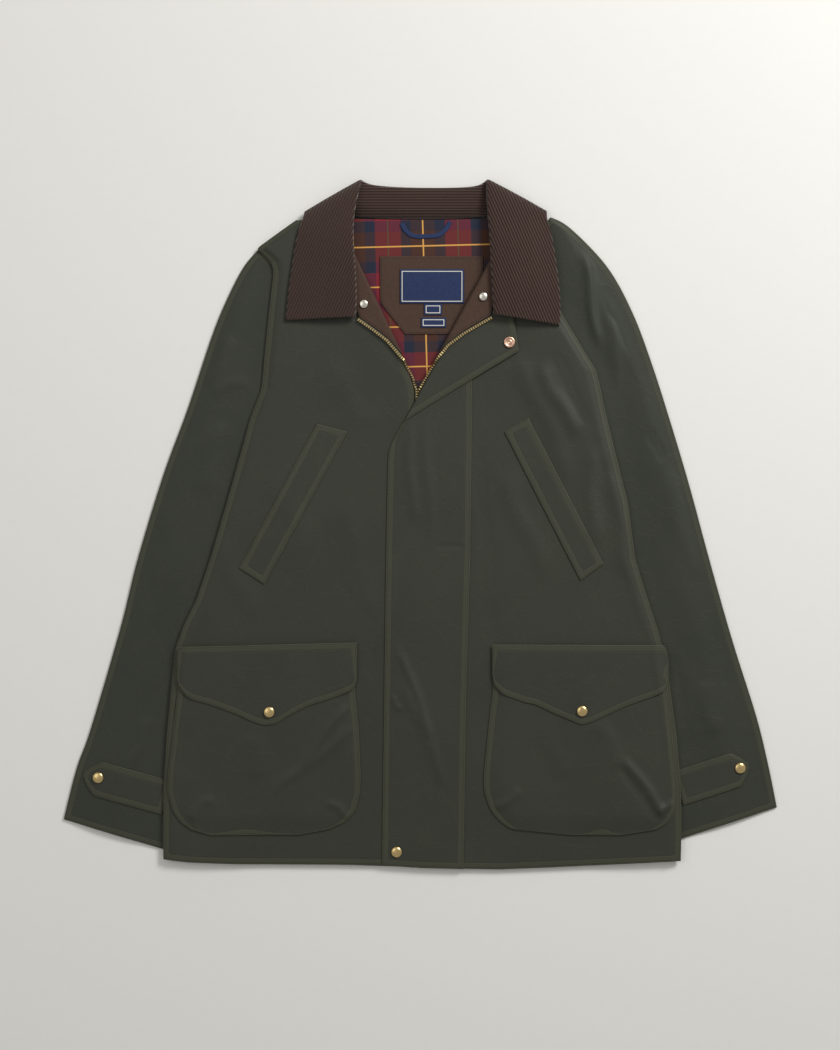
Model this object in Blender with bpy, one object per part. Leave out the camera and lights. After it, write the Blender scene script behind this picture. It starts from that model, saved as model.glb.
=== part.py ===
"""A waxed cotton jacket laid flat, front up: every cut piece is a thin wall over the ones below it.

Sizes are millimetres. X runs across the chest, Y from hem to collar, Z up from the floor. The wearer's
right side is at -X.
"""

import math

import bmesh
import bpy
import numpy as np

MM = 0.001

# Cloth walls, the space between two of them, and the lift over whatever lies beneath the back.
CLOTH = 1.2
LINING = 1.0
FACING = 1.0
CORD = 1.5
UNDER = 1.0
GAP = 0.3
LIFT = 3.3
LIFT_RUN = 90.0

# The front stack, measured up from the lowest layer of a front.
OUTER_LOW = 1.5
STORM_LOW = 3.2
LINING_LOW = CLOTH + 0.5
FRONT_BASE = LINING_LOW + LINING + GAP
NECK_EXTRA = 1.3
EDGE_RUN = 15.0
EDGE_CURL = 2.0

# Roll lines of the two turned-out fronts: a point, the unit direction up the line, the fold's axis height.
ROLL_RIGHT = (-2.4, 165.6, -0.431, 0.902, 3.15)
ROLL_LEFT = (-24.0, 122.4, 0.484, 0.875, 4.8)
CENTRE_X = -2.4
ZIP_WIDE = 4.0
ZIP_CLEAR = 4.8
HEM_TURN = 35.0
COLLAR_TURN = 1.5
ROLL_OUT = COLLAR_TURN + GAP / 2 + CORD
STAND_DROP = 0.9

# Body edge on the wearer's right: y, x.
EDGE_RIGHT = [
    (365.0, -148.5), (349.0, -171.0), (331.0, -195.6), (323.0, -186.0), (315.0, -178.5),
    (304.0, -175.2), (262.0, -180.0), (205.0, -186.0), (163.0, -189.6), (150.0, -196.8), (106.0, -210.0),
    (67.0, -218.4), (25.0, -231.6), (-40.0, -250.8), (-79.0, -262.8), (-101.0, -272.4), (-125.0, -285.6),
    (-148.0, -292.8), (-175.0, -295.2), (-214.0, -300.0), (-275.0, -304.8), (-324.0, -307.2), (-400.0, -307.2),
]
# Raglan seam and body edge on the wearer's left: y, x.
EDGE_LEFT = [
    (365.0, 122.5), (347.0, 129.0), (324.0, 138.0), (282.0, 155.0), (248.0, 172.8), (216.0, 192.0),
    (185.0, 211.2), (164.0, 216.0), (114.0, 226.8), (60.0, 240.0), (5.0, 254.4), (-41.0, 257.5),
    (-79.0, 269.0), (-114.0, 280.8), (-140.0, 289.2), (-193.0, 298.8), (-253.0, 307.2), (-313.0, 312.0),
    (-353.0, 313.2), (-400.0, 312.0),
]
# The back's own edge on the wearer's left, inside the front's as far as the underarm: y, x.
BACK_LEFT = [
    (365.0, 118.0), (347.0, 124.0), (324.0, 130.0), (282.0, 145.0), (248.0, 161.0), (216.0, 179.0),
    (185.0, 197.0), (164.0, 203.0), (114.0, 217.0), (60.0, 234.0), (5.0, 252.0), (-41.0, 257.5),
    (-79.0, 269.0), (-114.0, 280.8), (-140.0, 289.2), (-193.0, 298.8), (-253.0, 307.2), (-313.0, 312.0),
    (-353.0, 313.2), (-400.0, 312.0),
]
# Neckline then centre-front line of each front, laid flat: y, x.
CENTRE_RIGHT = [
    (365.0, -108.0), (352.0, -98.0), (335.0, -84.0), (316.0, -55.0), (295.0, -32.0), (272.0, -18.0),
    (250.0, -19.5), (229.0, -20.0), (198.0, -14.4), (162.0, -2.4), (-410.0, -2.4),
]
CENTRE_LEFT = [
    (365.0, 109.0), (352.0, 104.0), (330.0, 86.0), (319.0, 67.0), (300.0, 39.0), (282.0, 22.0),
    (244.0, 23.5), (220.0, 21.6), (187.0, 9.1), (162.0, -2.4), (-410.0, -2.4),
]
# Hem height: x, y.
HEM = [(-308.0, -400.0), (-285.0, -403.0), (-250.0, -406.0), (-46.0, -407.0), (-20.0, -410.0),
       (60.0, -412.0), (100.0, -412.5), (200.0, -408.0), (313.0, -402.0)]
# Sleeves, shoulder to cuff: outer edge x, y, inner edge x, y.
SLEEVE_RIGHT = [
    (-194.0, 330.0, -156.0, 308.0), (-211.2, 309.6, -161.0, 282.0), (-231.6, 270.0, -166.0, 244.0),
    (-249.6, 225.6, -170.0, 198.0), (-278.4, 139.2, -182.0, 112.0), (-307.2, 61.2, -197.0, 30.0),
    (-338.4, -40.8, -212.0, -78.0), (-358.8, -122.4, -216.0, -167.0), (-394.8, -244.8, -234.0, -294.0),
    (-411.6, -291.6, -254.0, -340.0), (-427.2, -352.8, -277.0, -398.0),
]
SLEEVE_LEFT = [
    (156.5, 369.0, 138.0, 347.0), (180.0, 356.0, 124.0, 315.6), (224.4, 309.6, 153.6, 264.0),
    (254.4, 255.6, 182.4, 216.0), (277.2, 195.6, 201.6, 168.0), (298.8, 128.4, 212.4, 105.6),
    (322.8, 48.0, 220.8, 22.8), (346.8, -40.8, 216.0, -75.6), (374.4, -138.0, 211.2, -181.2),
    (403.2, -229.2, 234.0, -274.8), (417.6, -288.0, 256.8, -330.0), (427.8, -338.4, 282.0, -386.4),
]
# Storm flap laid flat: y, free edge x, seam x. Its top slopes down to the free edge.
STORM = [
    (326.0, -27.0, 61.0), (300.0, -27.0, 61.5), (223.0, -26.0, 62.0), (150.0, -25.0, 62.0),
    (122.0, -25.5, 62.0), (112.0, -31.5, 62.0), (102.0, -36.0, 61.8), (78.0, -38.4, 61.5),
    (-42.0, -40.8, 60.0), (-214.0, -43.2, 55.0), (-408.0, -45.6, 52.0),
]
STORM_SLOPE = 0.42
# Back lining, where the neck shows it: y, x, x.
LINING_ROWS = [
    (365.0, -98.0, 96.0), (334.0, -94.0, 96.0), (300.0, -84.0, 90.0), (257.0, -58.0, 64.0),
    (210.0, -38.0, 40.0), (166.0, -20.0, 14.0), (144.0, -14.0, 8.0),
]
PATCH_ROWS = [(321.6, -48.0, 75.6), (270.0, -48.0, 75.6), (265.2, -47.0, 75.0), (228.6, -18.0, 45.6)]
# Hip pockets: y, x, x, on the wearer's right then left.
POCKET_RIGHT = [
    (-156.0, -288.0, -78.0), (-202.0, -289.2, -79.0), (-217.0, -291.0, -75.6), (-274.0, -300.0, -70.8),
    (-313.0, -303.0, -70.8), (-332.0, -300.0, -73.0), (-348.0, -293.0, -80.0), (-358.0, -284.0, -92.0),
    (-366.0, -271.0, -112.0), (-371.0, -250.0, -145.0),
]
POCKET_LEFT = [
    (-156.0, 87.6, 296.0), (-193.0, 87.6, 296.0), (-244.0, 81.6, 301.0), (-289.0, 75.6, 306.0),
    (-320.0, 76.8, 308.4), (-341.0, 84.0, 306.0), (-355.0, 96.0, 297.0), (-364.0, 109.0, 284.0),
    (-369.0, 133.0, 266.0), (-371.0, 180.0, 240.0),
]
# Pocket flaps: x, top y, bottom y.
FLAP_RIGHT = [
    (-290.4, -145.6, -184.0), (-287.0, -145.5, -194.0), (-280.0, -145.3, -203.0), (-272.0, -145.2, -208.5),
    (-252.0, -144.8, -214.0), (-221.0, -144.0, -225.0), (-200.0, -143.4, -235.0), (-187.0, -143.0, -239.5),
    (-173.0, -142.8, -238.0), (-152.0, -142.2, -225.5), (-133.0, -141.8, -216.0), (-106.0, -141.2, -207.5),
    (-84.0, -140.6, -199.0), (-78.0, -140.5, -194.0), (-75.6, -140.4, -186.0),
]
FLAP_LEFT = [
    (86.4, -142.8, -180.0), (89.0, -142.8, -192.0), (100.0, -142.9, -202.8), (125.0, -143.0, -212.0),
    (138.0, -143.0, -214.5), (160.0, -143.1, -225.0), (179.0, -143.2, -233.0), (193.0, -143.2, -238.8),
    (205.0, -143.3, -235.5), (226.0, -143.3, -225.6), (250.0, -143.4, -214.8), (278.0, -143.4, -205.2),
    (291.0, -143.5, -199.0), (295.0, -150.0, -193.0), (297.0, -165.0, -184.0),
]
# Hand-warmer welts: four corners in turn.
WELT_RIGHT = [(-123.6, 121.2), (-87.0, 111.6), (-186.0, -70.8), (-216.0, -51.6)]
WELT_LEFT = [(101.0, 111.6), (129.6, 128.4), (219.6, -46.8), (192.0, -66.6)]
# Cuff tabs: the line along the middle from the hidden end to the point, and the half width.
TAB_RIGHT = (-303.5, -327.0, -403.2, -298.8, 21.0)
TAB_LEFT = (309.0, -316.0, 393.6, -288.0, 21.0)

# Collar sections from the front end round to the shoulder. Each row gives the neck seam x, y, the roll
# x, y, the fall's free edge x, y, and the heights of stand, roll and free edge.
LEAF_RIGHT = [
    (-84.0, 249.0, -79.5, 248.4, -160.5, 244.5, 12.4, 11.0),
    (-87.0, 272.0, -78.6, 270.0, -158.5, 270.0, 14.2, 10.8),
    (-92.0, 302.0, -79.2, 300.0, -154.0, 303.6, 15.3, 10.8),
    (-97.0, 334.0, -82.4, 332.0, -149.0, 335.0, 15.7, 10.6),
    (-101.0, 352.0, -82.8, 354.0, -145.6, 354.0, 14.9, 10.2),
    (-102.0, 372.0, -80.4, 384.0, -140.0, 364.0, 12.5, 9.8),
]
LEAF_LEFT = [
    (97.0, 250.0, 91.0, 250.8, 167.0, 238.8, 16.8, 10.6),
    (99.0, 272.0, 89.5, 270.0, 168.5, 262.0, 18.0, 10.4),
    (104.0, 300.0, 87.5, 300.0, 165.5, 296.0, 19.3, 10.4),
    (109.0, 334.0, 86.5, 332.0, 160.0, 332.0, 19.6, 10.2),
    (111.0, 352.0, 85.0, 356.0, 157.0, 352.0, 17.6, 10.0),
    (108.0, 372.0, 81.5, 385.0, 151.0, 364.0, 13.5, 9.8),
]
# The fold over each shoulder: neck, roll and free edge x, y, and how far the fold stands out there.
SHOULDER_RIGHT = (-98.0, 380.0, -70.0, 407.0, -136.0, 372.0)
SHOULDER_LEFT = (104.0, 380.0, 80.0, 407.0, 150.0, 372.5)
# The back of the collar, between the shoulders.
COLLAR_BACK = [
    (-84.0, 369.0, -62.0, 408.4, -117.0, 350.0), (-60.0, 367.5, -42.0, 406.0, -66.0, 336.0),
    (-20.0, 365.8, -16.0, 404.4, -24.0, 331.0), (20.0, 365.8, 19.0, 404.0, 22.0, 330.0),
    (60.0, 367.5, 56.0, 404.6, 72.0, 335.0), (88.0, 369.5, 74.0, 407.6, 124.0, 352.0),
]

OLIVE = (0.052, 0.056, 0.044)
OLIVE_DARK = (0.043, 0.047, 0.037)
CORD_BROWN = (0.042, 0.022, 0.016)
FACING_BROWN = (0.055, 0.034, 0.025)
CHECK_RED = (0.13, 0.025, 0.03)
NAVY = (0.018, 0.03, 0.085)
BRASS = (0.72, 0.5, 0.2)
SILVER = (0.75, 0.72, 0.66)
COPPER = (0.8, 0.42, 0.27)


def material(name, colour, rough=0.7, metal=0.0):
    """A plain Principled material."""
    made = bpy.data.materials.new(name)
    made.use_nodes = True
    shader = made.node_tree.nodes["Principled BSDF"]
    shader.inputs["Base Color"].default_value = (*colour, 1.0)
    shader.inputs["Roughness"].default_value = rough
    shader.inputs["Metallic"].default_value = metal
    made.diffuse_color = (*colour, 1.0)
    return made


def smooth(t):
    """0 to 1 with no slope at either end."""
    t = np.clip(t, 0.0, 1.0)
    return t * t * (3.0 - 2.0 * t)


def along(rows, y, column=1):
    """A column of a table of rows at height y, straight between rows."""
    table = np.array(rows, float)
    order = np.argsort(table[:, 0])
    return np.interp(y, table[order, 0], table[order, column])


def eased(rows, count):
    """The rows of a table redrawn as a smooth curve through them, count rows in all."""
    table = np.array(rows, float)
    at = np.linspace(0.0, len(table) - 1.0, count)
    low = np.clip(at.astype(int), 0, len(table) - 2)
    t = (at - low)[:, None]
    before = table[np.maximum(low - 1, 0)]
    after = table[np.minimum(low + 2, len(table) - 1)]
    start, end = table[low], table[low + 1]
    bend = (2.0 * before - 5.0 * start + 4.0 * end - after) * t**2
    twist = (3.0 * start - before - 3.0 * end + after) * t**3
    return start + 0.5 * ((end - before) * t + bend + twist)


def inner_edge(rows, y):
    """X of a sleeve's inner edge at height y."""
    table = np.array(rows, float)
    return np.interp(y, table[::-1, 3], table[::-1, 2])


def lift(x, y):
    """Height of the back's underside: it rides over the sleeves and over the collar's hidden fall."""
    right = smooth((-x + inner_edge(SLEEVE_RIGHT, y) + LIFT_RUN + 5.0) / LIFT_RUN)
    left = smooth((x - inner_edge(SLEEVE_LEFT, y) + LIFT_RUN + 5.0) / LIFT_RUN)
    collar = smooth((y - 236.0) / 90.0)
    near = np.minimum(x - along(EDGE_RIGHT, y), along(EDGE_LEFT, y) - x)
    curl = (1.0 - smooth(near / 24.0)) * smooth((140.0 - y) / 60.0)
    return LIFT * (1.0 - (1.0 - right) * (1.0 - left) * (1.0 - collar)) + EDGE_CURL * curl


def base(x, y):
    """Height of the lowest layer of a front: over the lining, and down to meet the back at the body edges."""
    inside = np.minimum(x - along(EDGE_RIGHT, y), along(EDGE_LEFT, y) - x)
    drop = (1.0 - smooth(inside / EDGE_RUN)) * (FRONT_BASE + OUTER_LOW - CLOTH - GAP)
    away = np.maximum(np.maximum(-62.0 - x, x - 82.0), np.maximum(205.0 - y, 0.0))
    return lift(x, y) + FRONT_BASE + NECK_EXTRA * (1.0 - smooth(away / 70.0)) - drop


def plain(height):
    """A mapping that sets each point at a height function of x and y."""
    return lambda points, up: np.column_stack([points, height(points[:, 0], points[:, 1]) + up])


def folded(roll):
    """A mapping that turns the cloth past a roll line up and back over itself.

    The cloth runs round an axis above the stack: a layer at height h has radius (axis height - h), and
    past the half turn it lies back over the front, upside down.
    """
    px, py, tx, ty, axis = roll
    side = 1.0 if tx < 0 else -1.0
    mx, my = side * ty, -side * tx
    reach = axis * 0.65
    px, py = px - mx * axis, py - my * axis

    def place(points, up):
        x, y = points[:, 0], points[:, 1]
        past = (x - px) * mx + (y - py) * my
        turn = np.clip(past / reach, 0.0, math.pi)
        radius = axis - up
        shift = np.where(past > 0.0, radius * np.sin(turn) - np.maximum(past - math.pi * reach, 0.0), past)
        x = x + (shift - past) * mx
        y = y + (shift - past) * my
        return np.column_stack([x, y, base(x, y) + axis - radius * np.cos(turn)])

    cuts = [((px + mx * reach * angle, py + my * reach * angle), (mx, my))
            for angle in (0.0, math.pi / 4, math.pi / 2, math.pi * 0.75, math.pi)]
    return place, cuts


def grid(across, down):
    """Triangles of a grid of points, row by row."""
    i, j = np.meshgrid(np.arange(down - 1), np.arange(across - 1), indexing="ij")
    a = (i * across + j).ravel()
    b, c, d = a + 1, a + across + 1, a + across
    return np.concatenate([np.column_stack([a, d, c]), np.column_stack([a, c, b])])


def cut_grid(rows, cuts):
    """A flat grid split along straight lines, as points and triangles."""
    flat = bmesh.new()
    down, across = rows.shape[:2]
    made = [flat.verts.new((p[0], p[1], 0.0)) for p in rows.reshape(-1, 2)]
    for i in range(down - 1):
        for j in range(across - 1):
            k = i * across + j
            flat.faces.new([made[k], made[k + across], made[k + across + 1], made[k + 1]])
    for (cx, cy), (nx, ny) in cuts:
        every = flat.verts[:] + flat.edges[:] + flat.faces[:]
        bmesh.ops.bisect_plane(flat, geom=every, dist=0.02, plane_co=(cx, cy, 0.0), plane_no=(nx, ny, 0.0))
    bmesh.ops.triangulate(flat, faces=flat.faces[:])
    flat.verts.index_update()
    points = np.array([v.co[:2] for v in flat.verts])
    faces = np.array([[v.index for v in f.verts] for f in flat.faces])
    flat.free()
    return points, faces


def solid(name, top, bottom, faces, finish):
    """A closed wall between two copies of one triangle sheet, with a rim round its edges."""
    a, b, c = top[faces[:, 0]], top[faces[:, 1]], top[faces[:, 2]]
    outward = np.cross(b - a, c - a)
    away = ((a - bottom[faces[:, 0]]) * outward).sum()
    if away < 0.0:
        faces = faces[:, ::-1]
    count = len(top)
    ends = np.concatenate([faces[:, [0, 1]], faces[:, [1, 2]], faces[:, [2, 0]]])
    known = {(p, q) for p, q in ends.tolist()}
    rim = [(p, q) for p, q in ends.tolist() if (q, p) not in known]
    skin = faces.tolist() + (faces[:, ::-1] + count).tolist()
    for p, q in rim:
        skin.append([q, p, p + count])
        skin.append([q, p + count, q + count])
    mesh = bpy.data.meshes.new(name)
    mesh.from_pydata((np.concatenate([top, bottom]) * MM).tolist(), [], skin)
    mesh.validate()
    mesh.materials.append(finish)
    made = bpy.data.objects.new(name, mesh)
    bpy.context.scene.collection.objects.link(made)
    return made


def sheet(name, rows, finish, low, thick, place, cuts=()):
    """A piece of cloth: a flat grid of rows of points, placed at two heights of its stack."""
    points, faces = cut_grid(rows, cuts)
    return solid(name, place(points, low + thick), place(points, low), faces, finish)


def spread(left, right, shares):
    """Rows of points between two edges, at the same shares of each row's width."""
    shares = np.array(shares)[None, :, None]
    return left[:, None, :] * (1.0 - shares) + right[:, None, :] * shares


def edge_points(rows, ys, column=1, inset=0.0):
    """Points of a table's edge at the given heights."""
    return np.column_stack([along(rows, ys, column) + inset, ys])


def to_hem(points):
    """Moves the lowest rows of a body piece onto the curved hem."""
    x, y = points[..., 0], points[..., 1]
    hem = np.interp(x, [h[0] for h in HEM], [h[1] for h in HEM])
    points[..., 1] = y + (hem + 400.0) * smooth((365.0 + y) / -HEM_TURN)
    return points


# Rows of the body pieces: the height at the wearer's right edge and at the left edge or the centre line.
LOWER = [(128.0, 128.0), (87.0, 87.0), (25.0, 25.0), (-41.0, -41.0), (-90.0, -90.0), (-120.0, -120.0),
         (-148.0, -148.0), (-193.0, -193.0), (-253.0, -253.0), (-313.0, -313.0), (-365.0, -365.0),
         (-400.0, -400.0)]
BACK_ROWS = [(365.0, 365.0), (349.0, 349.0), (331.0, 331.0), (315.0, 315.0), (304.0, 290.0), (262.0, 262.0),
             (205.0, 205.0), (163.0, 163.0)] + LOWER
FRONT_RIGHT_ROWS = [(365.0, 365.0), (349.0, 335.0), (331.0, 316.0), (323.0, 295.0), (315.0, 272.0), (304.0, 250.0),
                    (262.0, 229.0), (205.0, 198.0), (163.0, 162.0)] + LOWER
FRONT_LEFT_ROWS = [(365.0, 365.0), (347.0, 330.0), (324.0, 319.0), (303.0, 300.0), (282.0, 282.0), (248.0, 244.0),
                   (216.0, 220.0), (185.0, 187.0), (164.0, 162.0)] + LOWER
BACK_SHARES = (0.0, 0.02, 0.06, 0.11, 0.19, 0.28, 0.5, 0.72, 0.81, 0.89, 0.94, 0.98, 1.0)
FRONT_SHARES = (0.0, 0.03, 0.08, 0.2, 0.36, 0.55, 0.78, 1.0)
ZIP_ROWS = [60.0, -60.0, -180.0, -300.0, -392.0]


def pair_edges(pairs, left, right, inset=0.0):
    """Points of two edges at paired heights."""
    pairs = np.array(pairs)
    return edge_points(left, pairs[:, 0]), edge_points(right, pairs[:, 1], inset=inset)


def build_body(cloth):
    """The back and the two fronts."""
    rows = spread(*pair_edges(BACK_ROWS, EDGE_RIGHT, BACK_LEFT), BACK_SHARES)
    across = np.abs(rows[0, :, 0])
    rows[0, :, 1] += 3.0 * (across / 86.0) ** 2 * smooth((110.0 - across) / 24.0)
    sheet("back_panel", to_hem(rows), cloth, 0.0, CLOTH, plain(lift))
    for name, pairs, edge, centre, inset, roll in (
        ("front_right", FRONT_RIGHT_ROWS, EDGE_RIGHT, CENTRE_RIGHT, -ZIP_CLEAR, ROLL_RIGHT),
        ("front_left", FRONT_LEFT_ROWS, EDGE_LEFT, CENTRE_LEFT, ZIP_CLEAR, ROLL_LEFT),
    ):
        rows = spread(*pair_edges(pairs, edge, centre, inset), FRONT_SHARES)
        place, cuts = folded(roll)
        sheet(name, to_hem(rows), cloth, OUTER_LOW, CLOTH, place, cuts)


def build_lapels(cloth, brown, brass):
    """Facings, the zip's two halves and the storm flap, which turn out with the fronts."""
    for side, centre, roll, sign in (("right", CENTRE_RIGHT, ROLL_RIGHT, -1.0), ("left", CENTRE_LEFT, ROLL_LEFT, 1.0)):
        place, cuts = folded(roll)
        turned = [335.0, 316.0, 295.0, 272.0, 250.0, 229.0, 198.0, 162.0]
        if side == "left":
            turned = [330.0, 319.0, 300.0, 282.0, 244.0, 220.0, 187.0, 162.0]
        ys = np.array(turned + [148.0])
        free = edge_points(centre, ys, inset=sign * ZIP_CLEAR)
        line = roll[0] + (ys - roll[1]) * roll[2] / roll[3] + sign * 14.0
        inner = np.column_stack([sign * np.maximum(sign * line, sign * free[:, 0] + 14.0), ys])
        sheet("facing_" + side, spread(free, inner, (0.0, 0.5, 1.0)), brown, 0.0, FACING, place, cuts)
        ys = np.array(turned[3:] + ZIP_ROWS)
        edge = edge_points(centre, ys, inset=sign * 0.5)
        tape = edge_points(centre, ys, inset=sign * ZIP_WIDE)
        sheet("zip_" + side, spread(edge, tape, (0.0, 1.0)), brass, 0.1, 2.3, place, cuts)
    place, cuts = folded(ROLL_LEFT)
    ys = np.array([r[0] for r in STORM[:-1]] + [260.0, 30.0, -300.0, -365.0, -400.0])
    ys = np.sort(ys)[::-1]
    rows = spread(edge_points(STORM, ys), edge_points(STORM, ys, 2), (0.0, 0.08, 0.5, 1.0))
    rows[..., 1] -= (62.0 - rows[..., 0]) * STORM_SLOPE * smooth((rows[..., 1] - 223.0) / 103.0)
    sheet("storm_flap", to_hem(rows), cloth, STORM_LOW, CLOTH, place, cuts)


def build_neck(check, brown, navy):
    """Back lining, label patch, the labels and the hanger loop, seen in the neck."""
    low = lambda up: plain(lambda x, y: lift(x, y) + up)
    ys = np.array([365.0, 350.0, 334.0, 318.0, 300.0, 280.0, 257.0, 234.0, 210.0, 166.0, 144.0])
    left, right = edge_points(LINING_ROWS, ys), edge_points(LINING_ROWS, ys, 2)
    rows = spread(left, right, (0.0, 0.25, 0.5, 0.75, 1.0))
    rows[0, :, 1] += 3.0 * (rows[0, :, 0] / 86.0) ** 2 * smooth((110.0 - np.abs(rows[0, :, 0])) / 24.0)
    sheet("back_lining", rows, check, 0.0, LINING, low(LINING_LOW))
    over = LINING_LOW + LINING + 1.5 * GAP
    ys = np.array([321.6, 300.0, 280.0, 270.0, 257.0, 243.0, 228.6])
    left, right = edge_points(PATCH_ROWS, ys), edge_points(PATCH_ROWS, ys, 2)
    sheet("label_patch", spread(left, right, (0.0, 0.25, 0.5, 0.75, 1.0)), brown, 0.0, LINING, low(over))
    over = over + LINING + GAP
    for name, x0, x1, y0, y1 in (("label_main", -24.0, 52.8, 265.2, 306.0), ("label_size", 4.8, 26.4, 251.4, 264.9),
                                 ("label_origin", 1.2, 31.2, 236.4, 248.4)):
        ys = np.linspace(y1, y0, 5)
        left = np.column_stack([np.full(5, x0), ys])
        right = np.column_stack([np.full(5, x1), ys])
        sheet(name, spread(left, right, (0.0, 0.5, 1.0)), navy, 0.0, LINING, low(over))
    t = np.linspace(-1.0, 1.0, 15)
    middle = np.column_stack([7.0 + 29.0 * t, 345.5 + 16.5 * t**4 + 1.0 * t])
    along_it = np.gradient(middle, axis=0)
    side = np.column_stack([-along_it[:, 1], along_it[:, 0]])
    side = side / np.linalg.norm(side, axis=1)[:, None] * 2.7
    sheet("hanger_loop", spread(middle + side, middle - side, (0.0, 1.0)), navy, 0.0, LINING,
          low(LINING_LOW + LINING + GAP))


def sleeve_puff(rows, x, y, share):
    """How far a sleeve's front stands off its back: closed at the outer edge and flat under the body."""
    edge = EDGE_RIGHT if rows is SLEEVE_RIGHT else EDGE_LEFT
    body = along(edge, y)
    outside = body - x if rows is SLEEVE_RIGHT else x - body
    return 2.4 * smooth((outside - 8.0) / 45.0) * smooth(share / 0.3)


def build_sleeves(cloth):
    """Two-piece sleeves lying under the body's edges: the back on the floor, the front over it."""
    shares = np.array([0.0, 0.07, 0.2, 0.38, 0.6, 1.0])
    for side, table in (("right", SLEEVE_RIGHT), ("left", SLEEVE_LEFT)):
        rows = eased(table, 14)
        points = spread(rows[:, :2], rows[:, 2:], shares)
        flat = points.reshape(-1, 2)
        share = np.tile(shares, len(rows))
        faces = grid(len(shares), len(rows))
        puff = sleeve_puff(table, flat[:, 0], flat[:, 1], share)
        level = np.zeros(len(flat))
        for part, low in (("back", level), ("front", level + CLOTH + GAP + puff)):
            top, bottom = np.column_stack([flat, low + CLOTH]), np.column_stack([flat, low])
            solid("sleeve_" + side + "_" + part, top, bottom, faces, cloth)
    for side, table, tab in (("right", SLEEVE_RIGHT, TAB_RIGHT), ("left", SLEEVE_LEFT, TAB_LEFT)):
        x0, y0, x1, y1, half = tab
        reach = math.hypot(x1 - x0, y1 - y0)
        ux, uy = (x1 - x0) / reach, (y1 - y0) / reach
        s = np.array([0.0, 0.12, 0.24, 0.4, 0.6, 0.82, 0.93, 1.0])
        wide = half * np.array([1.0, 1.0, 1.0, 1.0, 1.0, 1.0, 0.55, 0.12])
        middle = np.column_stack([x0 + ux * reach * s, y0 + uy * reach * s])
        across = np.column_stack([-uy * wide, ux * wide])
        rows = spread(middle + across, middle - across, (0.0, 0.5, 1.0))
        height = lambda x, y, t=table: sleeve_top(t, x, y) + 2.0 * GAP
        sheet("cuff_tab_" + side, rows, cloth, 0.0, CLOTH, plain(height))


def sleeve_top(table, x, y):
    """Height of a sleeve's upper face at a point."""
    rows = np.array(table)
    outer = np.interp(y, rows[::-1, 1], rows[::-1, 0])
    inner = inner_edge(table, y)
    share = (x - outer) / (inner - outer)
    return 2.0 * CLOTH + GAP + sleeve_puff(table, x, y, share)


def front_top(x, y):
    """Height of a front's upper face."""
    return base(x, y) + OUTER_LOW + CLOTH


def pocket_rise(table, x, y, fuller=0.0):
    """A pocket bag's own fullness: closed at its edges, standing off in the middle."""
    inside = np.minimum(x - along(table, y, 1), along(table, y, 2) - x)
    inside = np.minimum(inside, y + 371.0)
    return 1.8 * smooth((inside + fuller) / 26.0)


def pocket_top(table, x, y):
    """Height of the upper face of a pocket bag, or of the front where there is none."""
    return front_top(x, y) + 2.5 * GAP + CLOTH + pocket_rise(table, x, y, 12.0)


def build_pockets(cloth):
    """Hip pocket bags, their pointed flaps, and the slanted hand-warmer welts."""
    for side, bag, flap in (("right", POCKET_RIGHT, FLAP_RIGHT), ("left", POCKET_LEFT, FLAP_LEFT)):
        ys = np.array([-156.0, -193.0, -244.0, -300.0, -320.0, -341.0, -355.0, -364.0, -371.0])
        rows = spread(edge_points(bag, ys), edge_points(bag, ys, 2), (0.0, 0.05, 0.14, 0.32, 0.5, 0.68, 0.86, 0.95, 1.0))
        rise = lambda x, y, b=bag: front_top(x, y) + 2.0 * GAP + pocket_rise(b, x, y)
        sheet("pocket_" + side, rows, cloth, 0.0, CLOTH, plain(rise))
        table = np.array(flap)
        high, low = table[:, [0, 1]], table[:, [0, 2]]
        over = lambda x, y, b=bag: pocket_top(b, x, np.minimum(y, -156.0)) + GAP
        sheet("pocket_flap_" + side, spread(high, low, (0.0, 0.4, 0.8, 1.0)), cloth, 0.0, CLOTH, plain(over))
    for side, corners in (("right", WELT_RIGHT), ("left", WELT_LEFT)):
        a, b, c, d = (np.array(p) for p in corners)
        t = np.linspace(0.0, 1.0, 7)[:, None]
        rows = spread(a + (d - a) * t, b + (c - b) * t, (0.0, 0.5, 1.0))
        sheet("welt_" + side, rows, cloth, 2.0 * GAP, CLOTH, plain(front_top))


STUD_SIDES = 16


def lathe(name, x, y, z, profile, finish):
    """A round cap turned from a profile of radius and height."""
    shape = bmesh.new()
    rings = []
    for radius, height in profile:
        ring = [shape.verts.new(((x + radius * math.cos(a)) * MM, (y + radius * math.sin(a)) * MM, (z + height) * MM))
                for a in np.linspace(0.0, 2.0 * math.pi, STUD_SIDES, endpoint=False)]
        rings.append(ring)
    for low, high in zip(rings, rings[1:]):
        for k in range(STUD_SIDES):
            after = (k + 1) % STUD_SIDES
            shape.faces.new([low[k], low[after], high[after], high[k]])
    shape.faces.new(rings[0][::-1])
    shape.faces.new(rings[-1])
    mesh = bpy.data.meshes.new(name)
    shape.to_mesh(mesh)
    shape.free()
    mesh.materials.append(finish)
    for face in mesh.polygons:
        face.use_smooth = len(face.vertices) == 4
    made = bpy.data.objects.new(name, mesh)
    bpy.context.scene.collection.objects.link(made)


CAP = [(6.2, 0.0), (6.6, 0.5), (6.2, 1.3), (5.0, 2.0), (3.0, 2.4), (1.2, 2.5)]
SMALL_CAP = [(5.0, 0.0), (5.3, 0.4), (5.0, 1.0), (3.6, 1.6), (1.2, 1.8)]
SOCKET = [(6.6, 0.0), (6.9, 0.5), (6.2, 1.3), (4.6, 1.5), (4.0, 0.8), (1.2, 0.8)]


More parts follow.
